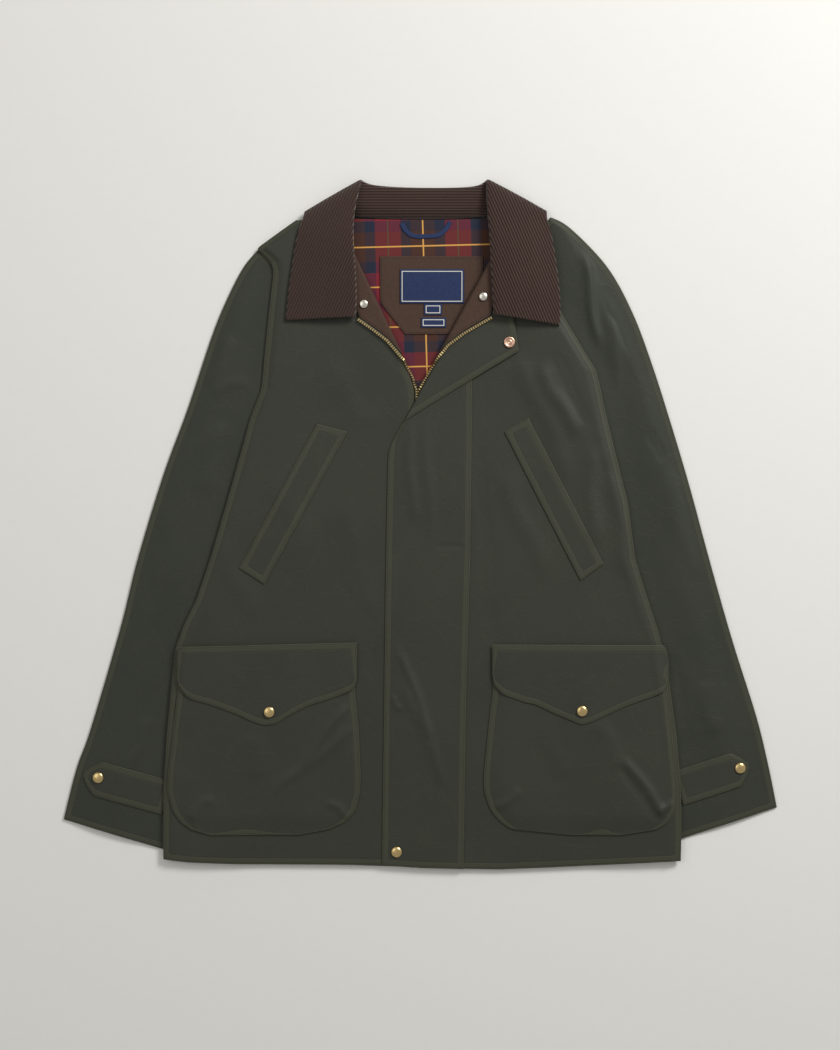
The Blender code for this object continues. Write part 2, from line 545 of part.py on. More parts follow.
def build_studs(brass, silver, copper):
    """Press studs on the pocket flaps, cuff tabs, storm flap and facings."""
    cuff = CLOTH + 2.0 * GAP
    flap = 2.0 * GAP + CLOTH
    turned = 2.0 * ROLL_LEFT[4]
    spots = (
        ("snap_pocket_right", -180.0, -223.2, lambda x, y: pocket_top(POCKET_RIGHT, x, y) + flap, CAP, brass),
        ("snap_pocket_left", 193.6, -222.0, lambda x, y: pocket_top(POCKET_LEFT, x, y) + flap, CAP, brass),
        ("snap_cuff_right", -385.2, -302.4, lambda x, y: sleeve_top(SLEEVE_RIGHT, x, y) + cuff, CAP, brass),
        ("snap_cuff_left", 383.3, -290.8, lambda x, y: sleeve_top(SLEEVE_LEFT, x, y) + cuff, CAP, brass),
        ("snap_storm_flap", -28.0, -391.2, lambda x, y: base(x, y) + STORM_LOW + CLOTH, CAP, brass),
        ("socket_storm_flap", 106.8, 218.4, lambda x, y: base(x, y) + turned - STORM_LOW, SOCKET, copper),
        ("snap_facing_right", -67.2, 264.0, lambda x, y: base(x, y) + 2.0 * ROLL_RIGHT[4], SMALL_CAP, silver),
        ("snap_facing_left", 75.6, 272.4, lambda x, y: base(x, y) + turned, SMALL_CAP, silver),
    )
    ring = np.linspace(0.0, 2.0 * math.pi, STUD_SIDES, endpoint=False)
    for name, x, y, seat, profile, finish in spots:
        rim = seat(x + profile[0][0] * np.cos(ring), y + profile[0][0] * np.sin(ring))
        lathe(name, x, y, float(np.max(rim)) + GAP, profile, finish)


def collar_sections():
    """Sections of the collar round the neck, each as neck seam, roll, free edge and the way its outside faces."""
    sections = []
    sides = []
    for leaf, shoulder in ((LEAF_RIGHT, SHOULDER_RIGHT), (LEAF_LEFT, SHOULDER_LEFT)):
        half = []
        up = np.array([0.0, 0.0, 1.0])
        for row in eased(leaf, 8):
            neck, roll, fall = (np.array([row[0], row[1], row[6]]), np.array([row[2], row[3], row[6]]),
                                np.array([row[4], row[5], row[7]]))
            neck[2] -= STAND_DROP
            half.append((neck, roll, fall, up))
        last = eased(leaf, 8)[-1]
        flat = np.array(shoulder, float)
        line = flat[4:6] - flat[2:4]
        line = line / np.linalg.norm(line)
        out = np.array([line[1], -line[0]])
        out = out if out[1] > 0.0 else -out
        stand_mid, stand_off = (last[6] + 4.65) / 2.0, (last[6] - 4.65) / 2.0
        fall_mid, fall_off = (last[7] + 1.65) / 2.0, (last[7] - 1.65) / 2.0
        for angle in (0.2, 0.5, 0.8):
            turn = angle * math.pi
            face = np.array([out[0] * math.sin(turn), out[1] * math.sin(turn), math.cos(turn)])
            neck = np.array([flat[0], flat[1], stand_mid]) + face * stand_off
            roll = np.array([flat[2], flat[3], stand_mid]) + face * stand_off
            fall = np.array([flat[4], flat[5], fall_mid]) + face * fall_off
            half.append((neck, roll, fall, face))
        sides.append(half)
    sections = list(sides[0])
    down = np.array([0.0, 0.0, -1.0])
    for row in eased(COLLAR_BACK, 8):
        neck, roll, fall = (np.array([row[0], row[1], 4.65]), np.array([row[2], row[3] - ROLL_OUT, 4.65]),
                            np.array([row[4], row[5], 1.65]))
        sections.append((neck, roll, fall, down))
    return sections + sides[1][::-1]


def collar_layer(offset):
    """One face of the collar at a distance outside the line where its two cloths meet."""
    rows = []
    for neck, roll, fall, face in collar_sections():
        into = fall - roll
        into = into - face * into.dot(face)
        into = into / np.linalg.norm(into)
        start = roll + face * 2.0 * COLLAR_TURN
        row = [neck - face * offset, roll - face * offset]
        centre = roll + face * COLLAR_TURN
        for turn in (0.25, 0.5, 0.75):
            swing = face * -math.cos(turn * math.pi) - into * math.sin(turn * math.pi)
            row.append(centre + swing * (COLLAR_TURN + offset))
        row.append(start + face * offset)
        away = face * (fall - start).dot(face)
        level = (fall - start) - away
        for share in (0.3, 0.65, 1.0):
            row.append(start + level * share + away * share**1.8 + face * offset)
        rows.append(row)
    return np.array(rows)


def build_collar(cord, cloth):
    """Top collar outside and under collar inside the turn."""
    for name, inner, outer, finish in (("collar_top", GAP / 2, GAP / 2 + CORD, cord),
                                       ("collar_under", -GAP / 2 - UNDER, -GAP / 2, cloth)):
        top, bottom = collar_layer(outer), collar_layer(inner)
        down, across = top.shape[:2]
        solid(name, top.reshape(-1, 3), bottom.reshape(-1, 3), grid(across, down), finish)


def main():
    for thing in list(bpy.data.objects):
        bpy.data.objects.remove(thing)
    cloth = material("waxed_cotton", OLIVE, 0.6)
    dark = material("waxed_cotton_sleeve", OLIVE_DARK, 0.6)
    cord = material("corduroy", CORD_BROWN, 0.9)
    brown = material("facing_cotton", FACING_BROWN, 0.8)
    check = material("check_lining", CHECK_RED, 0.8)
    navy = material("navy_woven", NAVY, 0.8)
    brass = material("brass", BRASS, 0.3, 1.0)
    silver = material("silver_metal", SILVER, 0.3, 1.0)
    copper = material("copper_metal", COPPER, 0.3, 1.0)
    build_body(cloth)
    build_lapels(cloth, brown, brass)
    build_neck(check, brown, navy)
    build_sleeves(dark)
    build_pockets(cloth)
    build_collar(cord, cloth)
    build_studs(brass, silver, copper)


main()
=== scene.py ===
"""Looks of a waxed cotton jacket laid flat, on the forms of its solids. Lengths are millimetres."""

import logging
import math
from dataclasses import dataclass, field
from enum import Enum
from typing import Callable

import bpy
import numpy as np
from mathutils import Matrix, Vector


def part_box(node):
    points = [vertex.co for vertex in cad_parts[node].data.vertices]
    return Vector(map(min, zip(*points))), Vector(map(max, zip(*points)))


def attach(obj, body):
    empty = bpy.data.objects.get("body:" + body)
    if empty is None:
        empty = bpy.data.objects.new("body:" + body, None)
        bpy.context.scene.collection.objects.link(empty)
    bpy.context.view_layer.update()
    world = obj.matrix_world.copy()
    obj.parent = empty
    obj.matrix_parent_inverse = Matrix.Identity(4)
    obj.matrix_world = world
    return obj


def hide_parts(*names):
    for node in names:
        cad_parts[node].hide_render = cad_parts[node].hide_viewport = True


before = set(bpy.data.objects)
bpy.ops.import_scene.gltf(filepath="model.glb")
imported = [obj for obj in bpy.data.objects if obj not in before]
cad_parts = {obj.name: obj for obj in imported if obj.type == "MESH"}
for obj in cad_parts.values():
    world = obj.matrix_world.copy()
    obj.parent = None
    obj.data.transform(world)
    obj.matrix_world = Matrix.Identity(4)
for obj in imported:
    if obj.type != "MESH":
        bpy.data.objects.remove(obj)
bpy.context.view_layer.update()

LOG = logging.getLogger("jacket")
MM = 0.001
STEP = 3.6
CREASE_GAIN = 1.25
CREASE_SHARE = 0.9
DEEPEST = 0.6
RIM_ROUND = 1.4
UNSTITCHED = 9.0
Place = Callable[[np.ndarray, np.ndarray], np.ndarray]

# Cloth walls, the space between two of them, and the lift over whatever lies beneath the back.
CLOTH = 1.2
LINING = 1.0
FACING = 1.0
CORD = 1.5
UNDER = 1.0
GAP = 0.3
LIFT = 3.3
LIFT_RUN = 90.0

# The front stack, measured up from the lowest layer of a front.
OUTER_LOW = 1.5
STORM_LOW = 3.2
LINING_LOW = CLOTH + 0.5
FRONT_BASE = LINING_LOW + LINING + GAP
NECK_EXTRA = 1.3
EDGE_RUN = 15.0
EDGE_CURL = 2.0

# Roll lines of the two turned-out fronts: a point, the unit direction up the line, the fold's axis height.
ROLL_RIGHT = (-2.4, 165.6, -0.431, 0.902, 3.15)
ROLL_LEFT = (-24.0, 122.4, 0.484, 0.875, 4.8)
ZIP_WIDE = 4.0
ZIP_CLEAR = 4.8
HEM_TURN = 35.0
COLLAR_TURN = 1.5
ROLL_OUT = COLLAR_TURN + GAP / 2 + CORD
STAND_DROP = 0.9
# Heights of the collar's stand and of its hidden fall at the back.
STAND_LOW = 4.65
FALL_LOW = 1.65

# Body edge on the wearer's right: y, x.
EDGE_RIGHT = [
    (365.0, -148.5), (349.0, -171.0), (331.0, -195.6), (323.0, -186.0), (315.0, -178.5),
    (304.0, -175.2), (262.0, -180.0), (205.0, -186.0), (163.0, -189.6), (150.0, -196.8), (106.0, -210.0),
    (67.0, -218.4), (25.0, -231.6), (-40.0, -250.8), (-79.0, -262.8), (-101.0, -272.4), (-125.0, -285.6),
    (-148.0, -292.8), (-175.0, -295.2), (-214.0, -300.0), (-275.0, -304.8), (-324.0, -307.2),
    (-400.0, -307.2),
]
# Raglan seam and body edge on the wearer's left: y, x.
EDGE_LEFT = [
    (365.0, 122.5), (347.0, 129.0), (324.0, 138.0), (282.0, 155.0), (248.0, 172.8), (216.0, 192.0),
    (185.0, 211.2), (164.0, 216.0), (114.0, 226.8), (60.0, 240.0), (5.0, 254.4), (-41.0, 257.5),
    (-79.0, 269.0), (-114.0, 280.8), (-140.0, 289.2), (-193.0, 298.8), (-253.0, 307.2), (-313.0, 312.0),
    (-353.0, 313.2), (-400.0, 312.0),
]
# The back's own edge on the wearer's left, inside the front's as far as the underarm: y, x.
BACK_LEFT = [
    (365.0, 118.0), (347.0, 124.0), (324.0, 130.0), (282.0, 145.0), (248.0, 161.0), (216.0, 179.0),
    (185.0, 197.0), (164.0, 203.0), (114.0, 217.0), (60.0, 234.0), (5.0, 252.0), (-41.0, 257.5),
    (-79.0, 269.0), (-114.0, 280.8), (-140.0, 289.2), (-193.0, 298.8), (-253.0, 307.2), (-313.0, 312.0),
    (-353.0, 313.2), (-400.0, 312.0),
]
# Neckline then centre-front line of each front, laid flat: y, x.
CENTRE_RIGHT = [
    (365.0, -108.0), (352.0, -98.0), (335.0, -84.0), (316.0, -55.0), (295.0, -32.0), (272.0, -18.0),
    (250.0, -19.5), (229.0, -20.0), (198.0, -14.4), (162.0, -2.4), (-410.0, -2.4),
]
CENTRE_LEFT = [
    (365.0, 109.0), (352.0, 104.0), (330.0, 86.0), (319.0, 67.0), (300.0, 39.0), (282.0, 22.0),
    (244.0, 23.5), (220.0, 21.6), (187.0, 9.1), (162.0, -2.4), (-410.0, -2.4),
]
# Hem height: x, y.
HEM = [(-308.0, -400.0), (-285.0, -403.0), (-250.0, -406.0), (-46.0, -407.0), (-20.0, -410.0),
       (60.0, -412.0), (100.0, -412.5), (200.0, -408.0), (313.0, -402.0)]
# Sleeves, shoulder to cuff: outer edge x, y, inner edge x, y.
SLEEVE_RIGHT = [
    (-194.0, 330.0, -156.0, 308.0), (-211.2, 309.6, -161.0, 282.0), (-231.6, 270.0, -166.0, 244.0),
    (-249.6, 225.6, -170.0, 198.0), (-278.4, 139.2, -182.0, 112.0), (-307.2, 61.2, -197.0, 30.0),
    (-338.4, -40.8, -212.0, -78.0), (-358.8, -122.4, -216.0, -167.0), (-394.8, -244.8, -234.0, -294.0),
    (-411.6, -291.6, -254.0, -340.0), (-427.2, -352.8, -277.0, -398.0),
]
SLEEVE_LEFT = [
    (156.5, 369.0, 138.0, 347.0), (180.0, 356.0, 124.0, 315.6), (224.4, 309.6, 153.6, 264.0),
    (254.4, 255.6, 182.4, 216.0), (277.2, 195.6, 201.6, 168.0), (298.8, 128.4, 212.4, 105.6),
    (322.8, 48.0, 220.8, 22.8), (346.8, -40.8, 216.0, -75.6), (374.4, -138.0, 211.2, -181.2),
    (403.2, -229.2, 234.0, -274.8), (417.6, -288.0, 256.8, -330.0), (427.8, -338.4, 282.0, -386.4),
]
# Storm flap laid flat: y, free edge x, seam x. Its top slopes down to the free edge.
STORM = [
    (326.0, -27.0, 61.0), (300.0, -27.0, 61.5), (223.0, -26.0, 62.0), (150.0, -25.0, 62.0),
    (122.0, -25.5, 62.0), (112.0, -31.5, 62.0), (102.0, -36.0, 61.8), (78.0, -38.4, 61.5),
    (-42.0, -40.8, 60.0), (-214.0, -43.2, 55.0), (-408.0, -45.6, 52.0),
]
STORM_SLOPE = 0.42
# Back lining, where the neck shows it: y, x, x.
LINING_ROWS = [
    (365.0, -98.0, 96.0), (334.0, -94.0, 96.0), (300.0, -84.0, 90.0), (257.0, -58.0, 64.0),
    (210.0, -38.0, 40.0), (166.0, -20.0, 14.0), (144.0, -14.0, 8.0),
]
PATCH_ROWS = [(321.6, -48.0, 75.6), (270.0, -48.0, 75.6), (265.2, -47.0, 75.0), (228.6, -18.0, 45.6)]
# Hip pockets: y, x, x, on the wearer's right then left.
POCKET_RIGHT = [
    (-156.0, -288.0, -78.0), (-202.0, -289.2, -79.0), (-217.0, -291.0, -75.6), (-274.0, -300.0, -70.8),
    (-313.0, -303.0, -70.8), (-332.0, -300.0, -73.0), (-348.0, -293.0, -80.0), (-358.0, -284.0, -92.0),
    (-366.0, -271.0, -112.0), (-371.0, -250.0, -145.0),
]
POCKET_LEFT = [
    (-156.0, 87.6, 296.0), (-193.0, 87.6, 296.0), (-244.0, 81.6, 301.0), (-289.0, 75.6, 306.0),
    (-320.0, 76.8, 308.4), (-341.0, 84.0, 306.0), (-355.0, 96.0, 297.0), (-364.0, 109.0, 284.0),
    (-369.0, 133.0, 266.0), (-371.0, 180.0, 240.0),
]
# Pocket flaps: x, top y, bottom y.
FLAP_RIGHT = [
    (-290.4, -145.6, -184.0), (-287.0, -145.5, -194.0), (-280.0, -145.3, -203.0), (-272.0, -145.2, -208.5),
    (-252.0, -144.8, -214.0), (-221.0, -144.0, -225.0), (-200.0, -143.4, -235.0), (-187.0, -143.0, -239.5),
    (-173.0, -142.8, -238.0), (-152.0, -142.2, -225.5), (-133.0, -141.8, -216.0), (-106.0, -141.2, -207.5),
    (-84.0, -140.6, -199.0), (-78.0, -140.5, -194.0), (-75.6, -140.4, -186.0),
]
FLAP_LEFT = [
    (86.4, -142.8, -180.0), (89.0, -142.8, -192.0), (100.0, -142.9, -202.8), (125.0, -143.0, -212.0),
    (138.0, -143.0, -214.5), (160.0, -143.1, -225.0), (179.0, -143.2, -233.0), (193.0, -143.2, -238.8),
    (205.0, -143.3, -235.5), (226.0, -143.3, -225.6), (250.0, -143.4, -214.8), (278.0, -143.4, -205.2),
    (291.0, -143.5, -199.0), (295.0, -150.0, -193.0), (297.0, -165.0, -184.0),
]
# Hand-warmer welts: four corners in turn.
WELT_RIGHT = [(-123.6, 121.2), (-87.0, 111.6), (-186.0, -70.8), (-216.0, -51.6)]
WELT_LEFT = [(101.0, 111.6), (129.6, 128.4), (219.6, -46.8), (192.0, -66.6)]
# Cuff tabs: the line along the middle from the hidden end to the point, and the half width.
TAB_RIGHT = (-303.5, -327.0, -403.2, -298.8, 21.0)
TAB_LEFT = (309.0, -316.0, 393.6, -288.0, 21.0)

# Collar sections from the front end round to the shoulder. Each row gives the neck seam x, y, the roll
# x, y, the fall's free edge x, y, and the heights of stand, roll and free edge.
LEAF_RIGHT = [
    (-84.0, 249.0, -79.5, 248.4, -160.5, 244.5, 12.4, 11.0),
    (-87.0, 272.0, -78.6, 270.0, -158.5, 270.0, 14.2, 10.8),
    (-92.0, 302.0, -79.2, 300.0, -154.0, 303.6, 15.3, 10.8),
    (-97.0, 334.0, -82.4, 332.0, -149.0, 335.0, 15.7, 10.6),
    (-101.0, 352.0, -82.8, 354.0, -145.6, 354.0, 14.9, 10.2),
    (-102.0, 372.0, -80.4, 384.0, -140.0, 364.0, 12.5, 9.8),
]
LEAF_LEFT = [
    (97.0, 250.0, 91.0, 250.8, 167.0, 238.8, 16.8, 10.6),
    (99.0, 272.0, 89.5, 270.0, 168.5, 262.0, 18.0, 10.4),
    (104.0, 300.0, 87.5, 300.0, 165.5, 296.0, 19.3, 10.4),
    (109.0, 334.0, 86.5, 332.0, 160.0, 332.0, 19.6, 10.2),
    (111.0, 352.0, 85.0, 356.0, 157.0, 352.0, 17.6, 10.0),
    (108.0, 372.0, 81.5, 385.0, 151.0, 364.0, 13.5, 9.8),
]
# The fold over each shoulder: neck, roll and free edge x, y, and how far the fold stands out there.
SHOULDER_RIGHT = (-98.0, 380.0, -70.0, 407.0, -136.0, 372.0)
SHOULDER_LEFT = (104.0, 380.0, 80.0, 407.0, 150.0, 372.5)
# The back of the collar, between the shoulders.
COLLAR_BACK = [
    (-84.0, 369.0, -62.0, 408.4, -117.0, 350.0), (-60.0, 367.5, -42.0, 406.0, -66.0, 336.0),
    (-20.0, 365.8, -16.0, 404.4, -24.0, 331.0), (20.0, 365.8, 19.0, 404.0, 22.0, 330.0),
    (60.0, 367.5, 56.0, 404.6, 72.0, 335.0), (88.0, 369.5, 74.0, 407.6, 124.0, 352.0),
]

# Rows of the body pieces: the height at the wearer's right edge and at the left edge or the centre line.
LOWER = [(128.0, 128.0), (87.0, 87.0), (25.0, 25.0), (-41.0, -41.0), (-90.0, -90.0), (-120.0, -120.0),
         (-148.0, -148.0), (-193.0, -193.0), (-253.0, -253.0), (-313.0, -313.0), (-365.0, -365.0),
         (-400.0, -400.0)]
BACK_ROWS = [(365.0, 365.0), (349.0, 349.0), (331.0, 331.0), (315.0, 315.0), (304.0, 290.0), (262.0, 262.0),
             (205.0, 205.0), (163.0, 163.0)] + LOWER
FRONT_RIGHT_ROWS = [(365.0, 365.0), (349.0, 335.0), (331.0, 316.0), (323.0, 295.0), (315.0, 272.0),
                    (304.0, 250.0), (262.0, 229.0), (205.0, 198.0), (163.0, 162.0)] + LOWER
FRONT_LEFT_ROWS = [(365.0, 365.0), (347.0, 330.0), (324.0, 319.0), (303.0, 300.0), (282.0, 282.0),
                   (248.0, 244.0), (216.0, 220.0), (185.0, 187.0), (164.0, 162.0)] + LOWER


def smooth(t: np.ndarray) -> np.ndarray:
    """Eases 0 to 1 with no slope at either end, as 3t squared less 2t cubed.

    Args:
        t: share of the way, cut off below 0 and above 1.

    Returns:
        The eased share.
    """
    t = np.clip(t, 0.0, 1.0)
    return t * t * (3.0 - 2.0 * t)


def along(rows: list, y: np.ndarray, column: int = 1) -> np.ndarray:
    """Reads a column of a table of rows, straight between rows.

    Args:
        rows: the table, its heights in the first column.
        y: heights to read at.
        column: the column to read.

    Returns:
        The column's value at each height.
    """
    table = np.array(rows, float)
    order = np.argsort(table[:, 0])
    return np.interp(y, table[order, 0], table[order, column])


def eased(rows: list, count: int) -> np.ndarray:
    """Redraws the rows of a table as a Catmull-Rom curve through them.

    Args:
        rows: the table.
        count: how many rows to return.

    Returns:
        The rows on the curve.
    """
    table = np.array(rows, float)
    at = np.linspace(0.0, len(table) - 1.0, count)
    low = np.clip(at.astype(int), 0, len(table) - 2)
    t = (at - low)[:, None]
    before = table[np.maximum(low - 1, 0)]
    after = table[np.minimum(low + 2, len(table) - 1)]
    start, end = table[low], table[low + 1]
    bend = (2.0 * before - 5.0 * start + 4.0 * end - after) * t**2
    twist = (3.0 * start - before - 3.0 * end + after) * t**3
    return start + 0.5 * ((end - before) * t + bend + twist)


def inner_edge(rows: list, y: np.ndarray) -> np.ndarray:
    """Reads x of a sleeve's inner edge.

    Args:
        rows: the sleeve's table.
        y: heights to read at.

    Returns:
        x at each height.
    """
    table = np.array(rows, float)
    return np.interp(y, table[::-1, 3], table[::-1, 2])


def lift(x: np.ndarray, y: np.ndarray) -> np.ndarray:
    """Height of the back's underside, which rides over the sleeves and the collar's hidden fall.

    Args:
        x: places across the chest.
        y: places from hem to collar.

    Returns:
        The height at each place.
    """
    right = smooth((-x + inner_edge(SLEEVE_RIGHT, y) + LIFT_RUN + 5.0) / LIFT_RUN)
    left = smooth((x - inner_edge(SLEEVE_LEFT, y) + LIFT_RUN + 5.0) / LIFT_RUN)
    collar = smooth((y - 236.0) / 90.0)
    near = np.minimum(x - along(EDGE_RIGHT, y), along(EDGE_LEFT, y) - x)
    curl = (1.0 - smooth(near / 24.0)) * smooth((140.0 - y) / 60.0)
    return LIFT * (1.0 - (1.0 - right) * (1.0 - left) * (1.0 - collar)) + EDGE_CURL * curl


def flat_base(x: np.ndarray, y: np.ndarray) -> np.ndarray:
    """Height of a front's lowest layer: over the lining, and down to the back at the body edges.

    Args:
        x: places across the chest.
        y: places from hem to collar.

    Returns:
        The height at each place, without creases.
    """
    inside = np.minimum(x - along(EDGE_RIGHT, y), along(EDGE_LEFT, y) - x)
    drop = (1.0 - smooth(inside / EDGE_RUN)) * (FRONT_BASE + OUTER_LOW - CLOTH - GAP)
    away = np.maximum(np.maximum(-62.0 - x, x - 82.0), np.maximum(205.0 - y, 0.0))
    return lift(x, y) + FRONT_BASE + NECK_EXTRA * (1.0 - smooth(away / 70.0)) - drop


def spread(left: np.ndarray, right: np.ndarray, shares: tuple) -> np.ndarray:
    """Rows of points between two edges, at the same shares of each row's width.

    Args:
        left: points of one edge.
        right: points of the other edge.
        shares: shares of the width, from 0 to 1.

    Returns:
        The grid, row by row.
    """
    shares = np.array(shares)[None, :, None]
    return left[:, None, :] * (1.0 - shares) + right[:, None, :] * shares


def edge_points(rows: list, ys: np.ndarray, column: int = 1, inset: float = 0.0) -> np.ndarray:
    """Points of a table's edge at the given heights.

    Args:
        rows: the table.
        ys: heights of the points.
        column: the column that holds x.
        inset: how far to move the edge in x.

    Returns:
        The points.
    """
    return np.column_stack([along(rows, ys, column) + inset, ys])


def to_hem(points: np.ndarray) -> np.ndarray:
    """Moves the lowest rows of a body piece onto the curved hem.

    Args:
        points: the piece's grid, changed in place.

    Returns:
        The same grid.
    """
    x, y = points[..., 0], points[..., 1]
    hem = np.interp(x, [h[0] for h in HEM], [h[1] for h in HEM])
    points[..., 1] = y + (hem + 400.0) * smooth((365.0 + y) / -HEM_TURN)
    return points


def pair_edges(pairs: list, left: list, right: list, inset: float = 0.0) -> tuple[np.ndarray, np.ndarray]:
    """Points of two edges at paired heights.

    Args:
        pairs: heights on the left and on the right edge.
        left: the left edge's table.
        right: the right edge's table.
        inset: how far to move the right edge in x.

    Returns:
        The points of both edges.
    """
    pairs = np.array(pairs)
    return edge_points(left, pairs[:, 0]), edge_points(right, pairs[:, 1], inset=inset)


def collar_sections() -> list:
    """Sections of the collar round the neck.

    Returns:
        Neck seam, roll, free edge and the way the outside faces, for each section.
    """
    sides = []
    for leaf, shoulder in ((LEAF_RIGHT, SHOULDER_RIGHT), (LEAF_LEFT, SHOULDER_LEFT)):
        half = []
        up = np.array([0.0, 0.0, 1.0])
        for row in eased(leaf, 8):
            neck = np.array([row[0], row[1], row[6]])
            roll = np.array([row[2], row[3], row[6]])
            fall = np.array([row[4], row[5], row[7]])
            neck[2] -= STAND_DROP
            half.append((neck, roll, fall, up))
        last = eased(leaf, 8)[-1]
        flat = np.array(shoulder, float)
        line = flat[4:6] - flat[2:4]
        line = line / np.linalg.norm(line)
        out = np.array([line[1], -line[0]])
        out = out if out[1] > 0.0 else -out
        stand_mid, stand_off = (last[6] + STAND_LOW) / 2.0, (last[6] - STAND_LOW) / 2.0
        fall_mid, fall_off = (last[7] + FALL_LOW) / 2.0, (last[7] - FALL_LOW) / 2.0
        for angle in (0.2, 0.5, 0.8):
            turn = angle * math.pi
            face = np.array([out[0] * math.sin(turn), out[1] * math.sin(turn), math.cos(turn)])
            neck = np.array([flat[0], flat[1], stand_mid]) + face * stand_off
            roll = np.array([flat[2], flat[3], stand_mid]) + face * stand_off
            fall = np.array([flat[4], flat[5], fall_mid]) + face * fall_off
            half.append((neck, roll, fall, face))
        sides.append(half)
    sections = list(sides[0])
    down = np.array([0.0, 0.0, -1.0])
    for row in eased(COLLAR_BACK, 8):
        neck = np.array([row[0], row[1], STAND_LOW])
        roll = np.array([row[2], row[3] - ROLL_OUT, STAND_LOW])
        fall = np.array([row[4], row[5], FALL_LOW])
        sections.append((neck, roll, fall, down))
    return sections + sides[1][::-1]


def collar_layer(offset: float) -> np.ndarray:
    """One face of the collar: up the stand, half a circle round the roll, and down the fall.

    Args:
        offset: distance outside the line where the two cloths meet.

    Returns:
        The face's points, section by section.
    """
    rows = []
    for neck, roll, fall, face in collar_sections():
        into = fall - roll
        into = into - face * into.dot(face)
        into = into / np.linalg.norm(into)
        start = roll + face * 2.0 * COLLAR_TURN
        row = [neck - face * offset, roll - face * offset]
        centre = roll + face * COLLAR_TURN
        for turn in (0.25, 0.5, 0.75):
            swing = face * -math.cos(turn * math.pi) - into * math.sin(turn * math.pi)
            row.append(centre + swing * (COLLAR_TURN + offset))
        row.append(start + face * offset)
        away = face * (fall - start).dot(face)
        level = (fall - start) - away
        for share in (0.3, 0.65, 1.0):
            row.append(start + level * share + away * share**1.8 + face * offset)
        rows.append(row)
    return np.array(rows)


@dataclass(frozen=True)
class Crease:
    """One soft trough or ridge along a line: ends, half width and height, in millimetres."""

    x0: float
    y0: float
    x1: float
    y1: float
    wide: float
    high: float

    def at(self, x: np.ndarray, y: np.ndarray) -> np.ndarray:
        """Height of the crease: a bell across the line that fades out towards its ends.

        Args:
            x: places across the chest.
            y: places from hem to collar.

        Returns:
            The height to add at each place.
        """
        ux, uy = self.x1 - self.x0, self.y1 - self.y0
        reach = math.hypot(ux, uy)
        along_it = ((x - self.x0) * ux + (y - self.y0) * uy) / reach**2
        sway = 0.25 * self.wide * np.sin(along_it * 7.0 + self.x0)
        across = ((x - self.x0) * -uy + (y - self.y0) * ux) / reach + sway
        fade = smooth(along_it / 0.25 + 0.4) * smooth((1.0 - along_it) / 0.25 + 0.4)
        return self.high * fade * np.exp(-((across / self.wide) ** 2))


FRONT_CREASES = (
    Crease(144.0, 190.0, 186.0, 110.0, 9.0, 2.2), Crease(160.0, 205.0, 200.0, 120.0, 7.0, -0.9),
    Crease(120.0, 200.0, 178.0, 60.0, 12.0, 1.6), Crease(100.0, 60.0, 150.0, -60.0, 12.0, 1.2),
    Crease(206.0, 90.0, 206.0, -20.0, 10.0, 1.8), Crease(228.0, 60.0, 246.0, -60.0, 9.0, 1.2),
    Crease(-170.0, 60.0, -140.0, -30.0, 16.0, 0.9), Crease(-110.0, 190.0, -60.0, 120.0, 16.0, 0.9),
    Crease(-90.0, 20.0, -60.0, -110.0, 14.0, 0.9), Crease(-30.0, -42.0, -52.0, -150.0, 8.0, 0.8),
    Crease(-14.0, 120.0, -8.0, 10.0, 6.0, 1.0), Crease(6.0, 120.0, 14.0, -20.0, 7.0, 0.8),
    Crease(-24.0, -150.0, 14.0, -252.0, 5.0, 1.5), Crease(-18.0, -190.0, 30.0, -310.0, 7.0, 1.2),
    Crease(20.0, -25.5, 52.0, -25.5, 2.6, -0.7), Crease(-34.0, -205.0, -24.0, -222.0, 3.5, 1.0),
    Crease(70.0, 100.0, 84.0, -120.0, 8.0, -0.7), Crease(-240.0, -20.0, -200.0, -110.0, 14.0, 1.0),
)
POCKET_CREASES = (
    Crease(-89.0, -217.0, -140.0, -286.0, 5.0, 1.6), Crease(-80.0, -244.0, -172.0, -317.0, 6.0, 1.3),
    Crease(-84.0, -350.0, -110.0, -330.0, 5.0, 1.2), Crease(-276.0, -350.0, -250.0, -325.0, 6.0, 1.2),
    Crease(-200.0, -250.0, -190.0, -300.0, 12.0, 0.7), Crease(239.0, -289.0, 282.0, -352.0, 3.2, -1.6),
    Crease(246.0, -280.0, 292.0, -345.0, 5.0, 2.2), Crease(285.0, -345.0, 302.0, -330.0, 4.0, 1.8),
    Crease(92.0, -340.0, 120.0, -318.0, 5.0, 1.3), Crease(150.0, -235.0, 170.0, -300.0, 12.0, 0.8),
    Crease(215.0, -235.0, 240.0, -290.0, 9.0, 0.9),
)
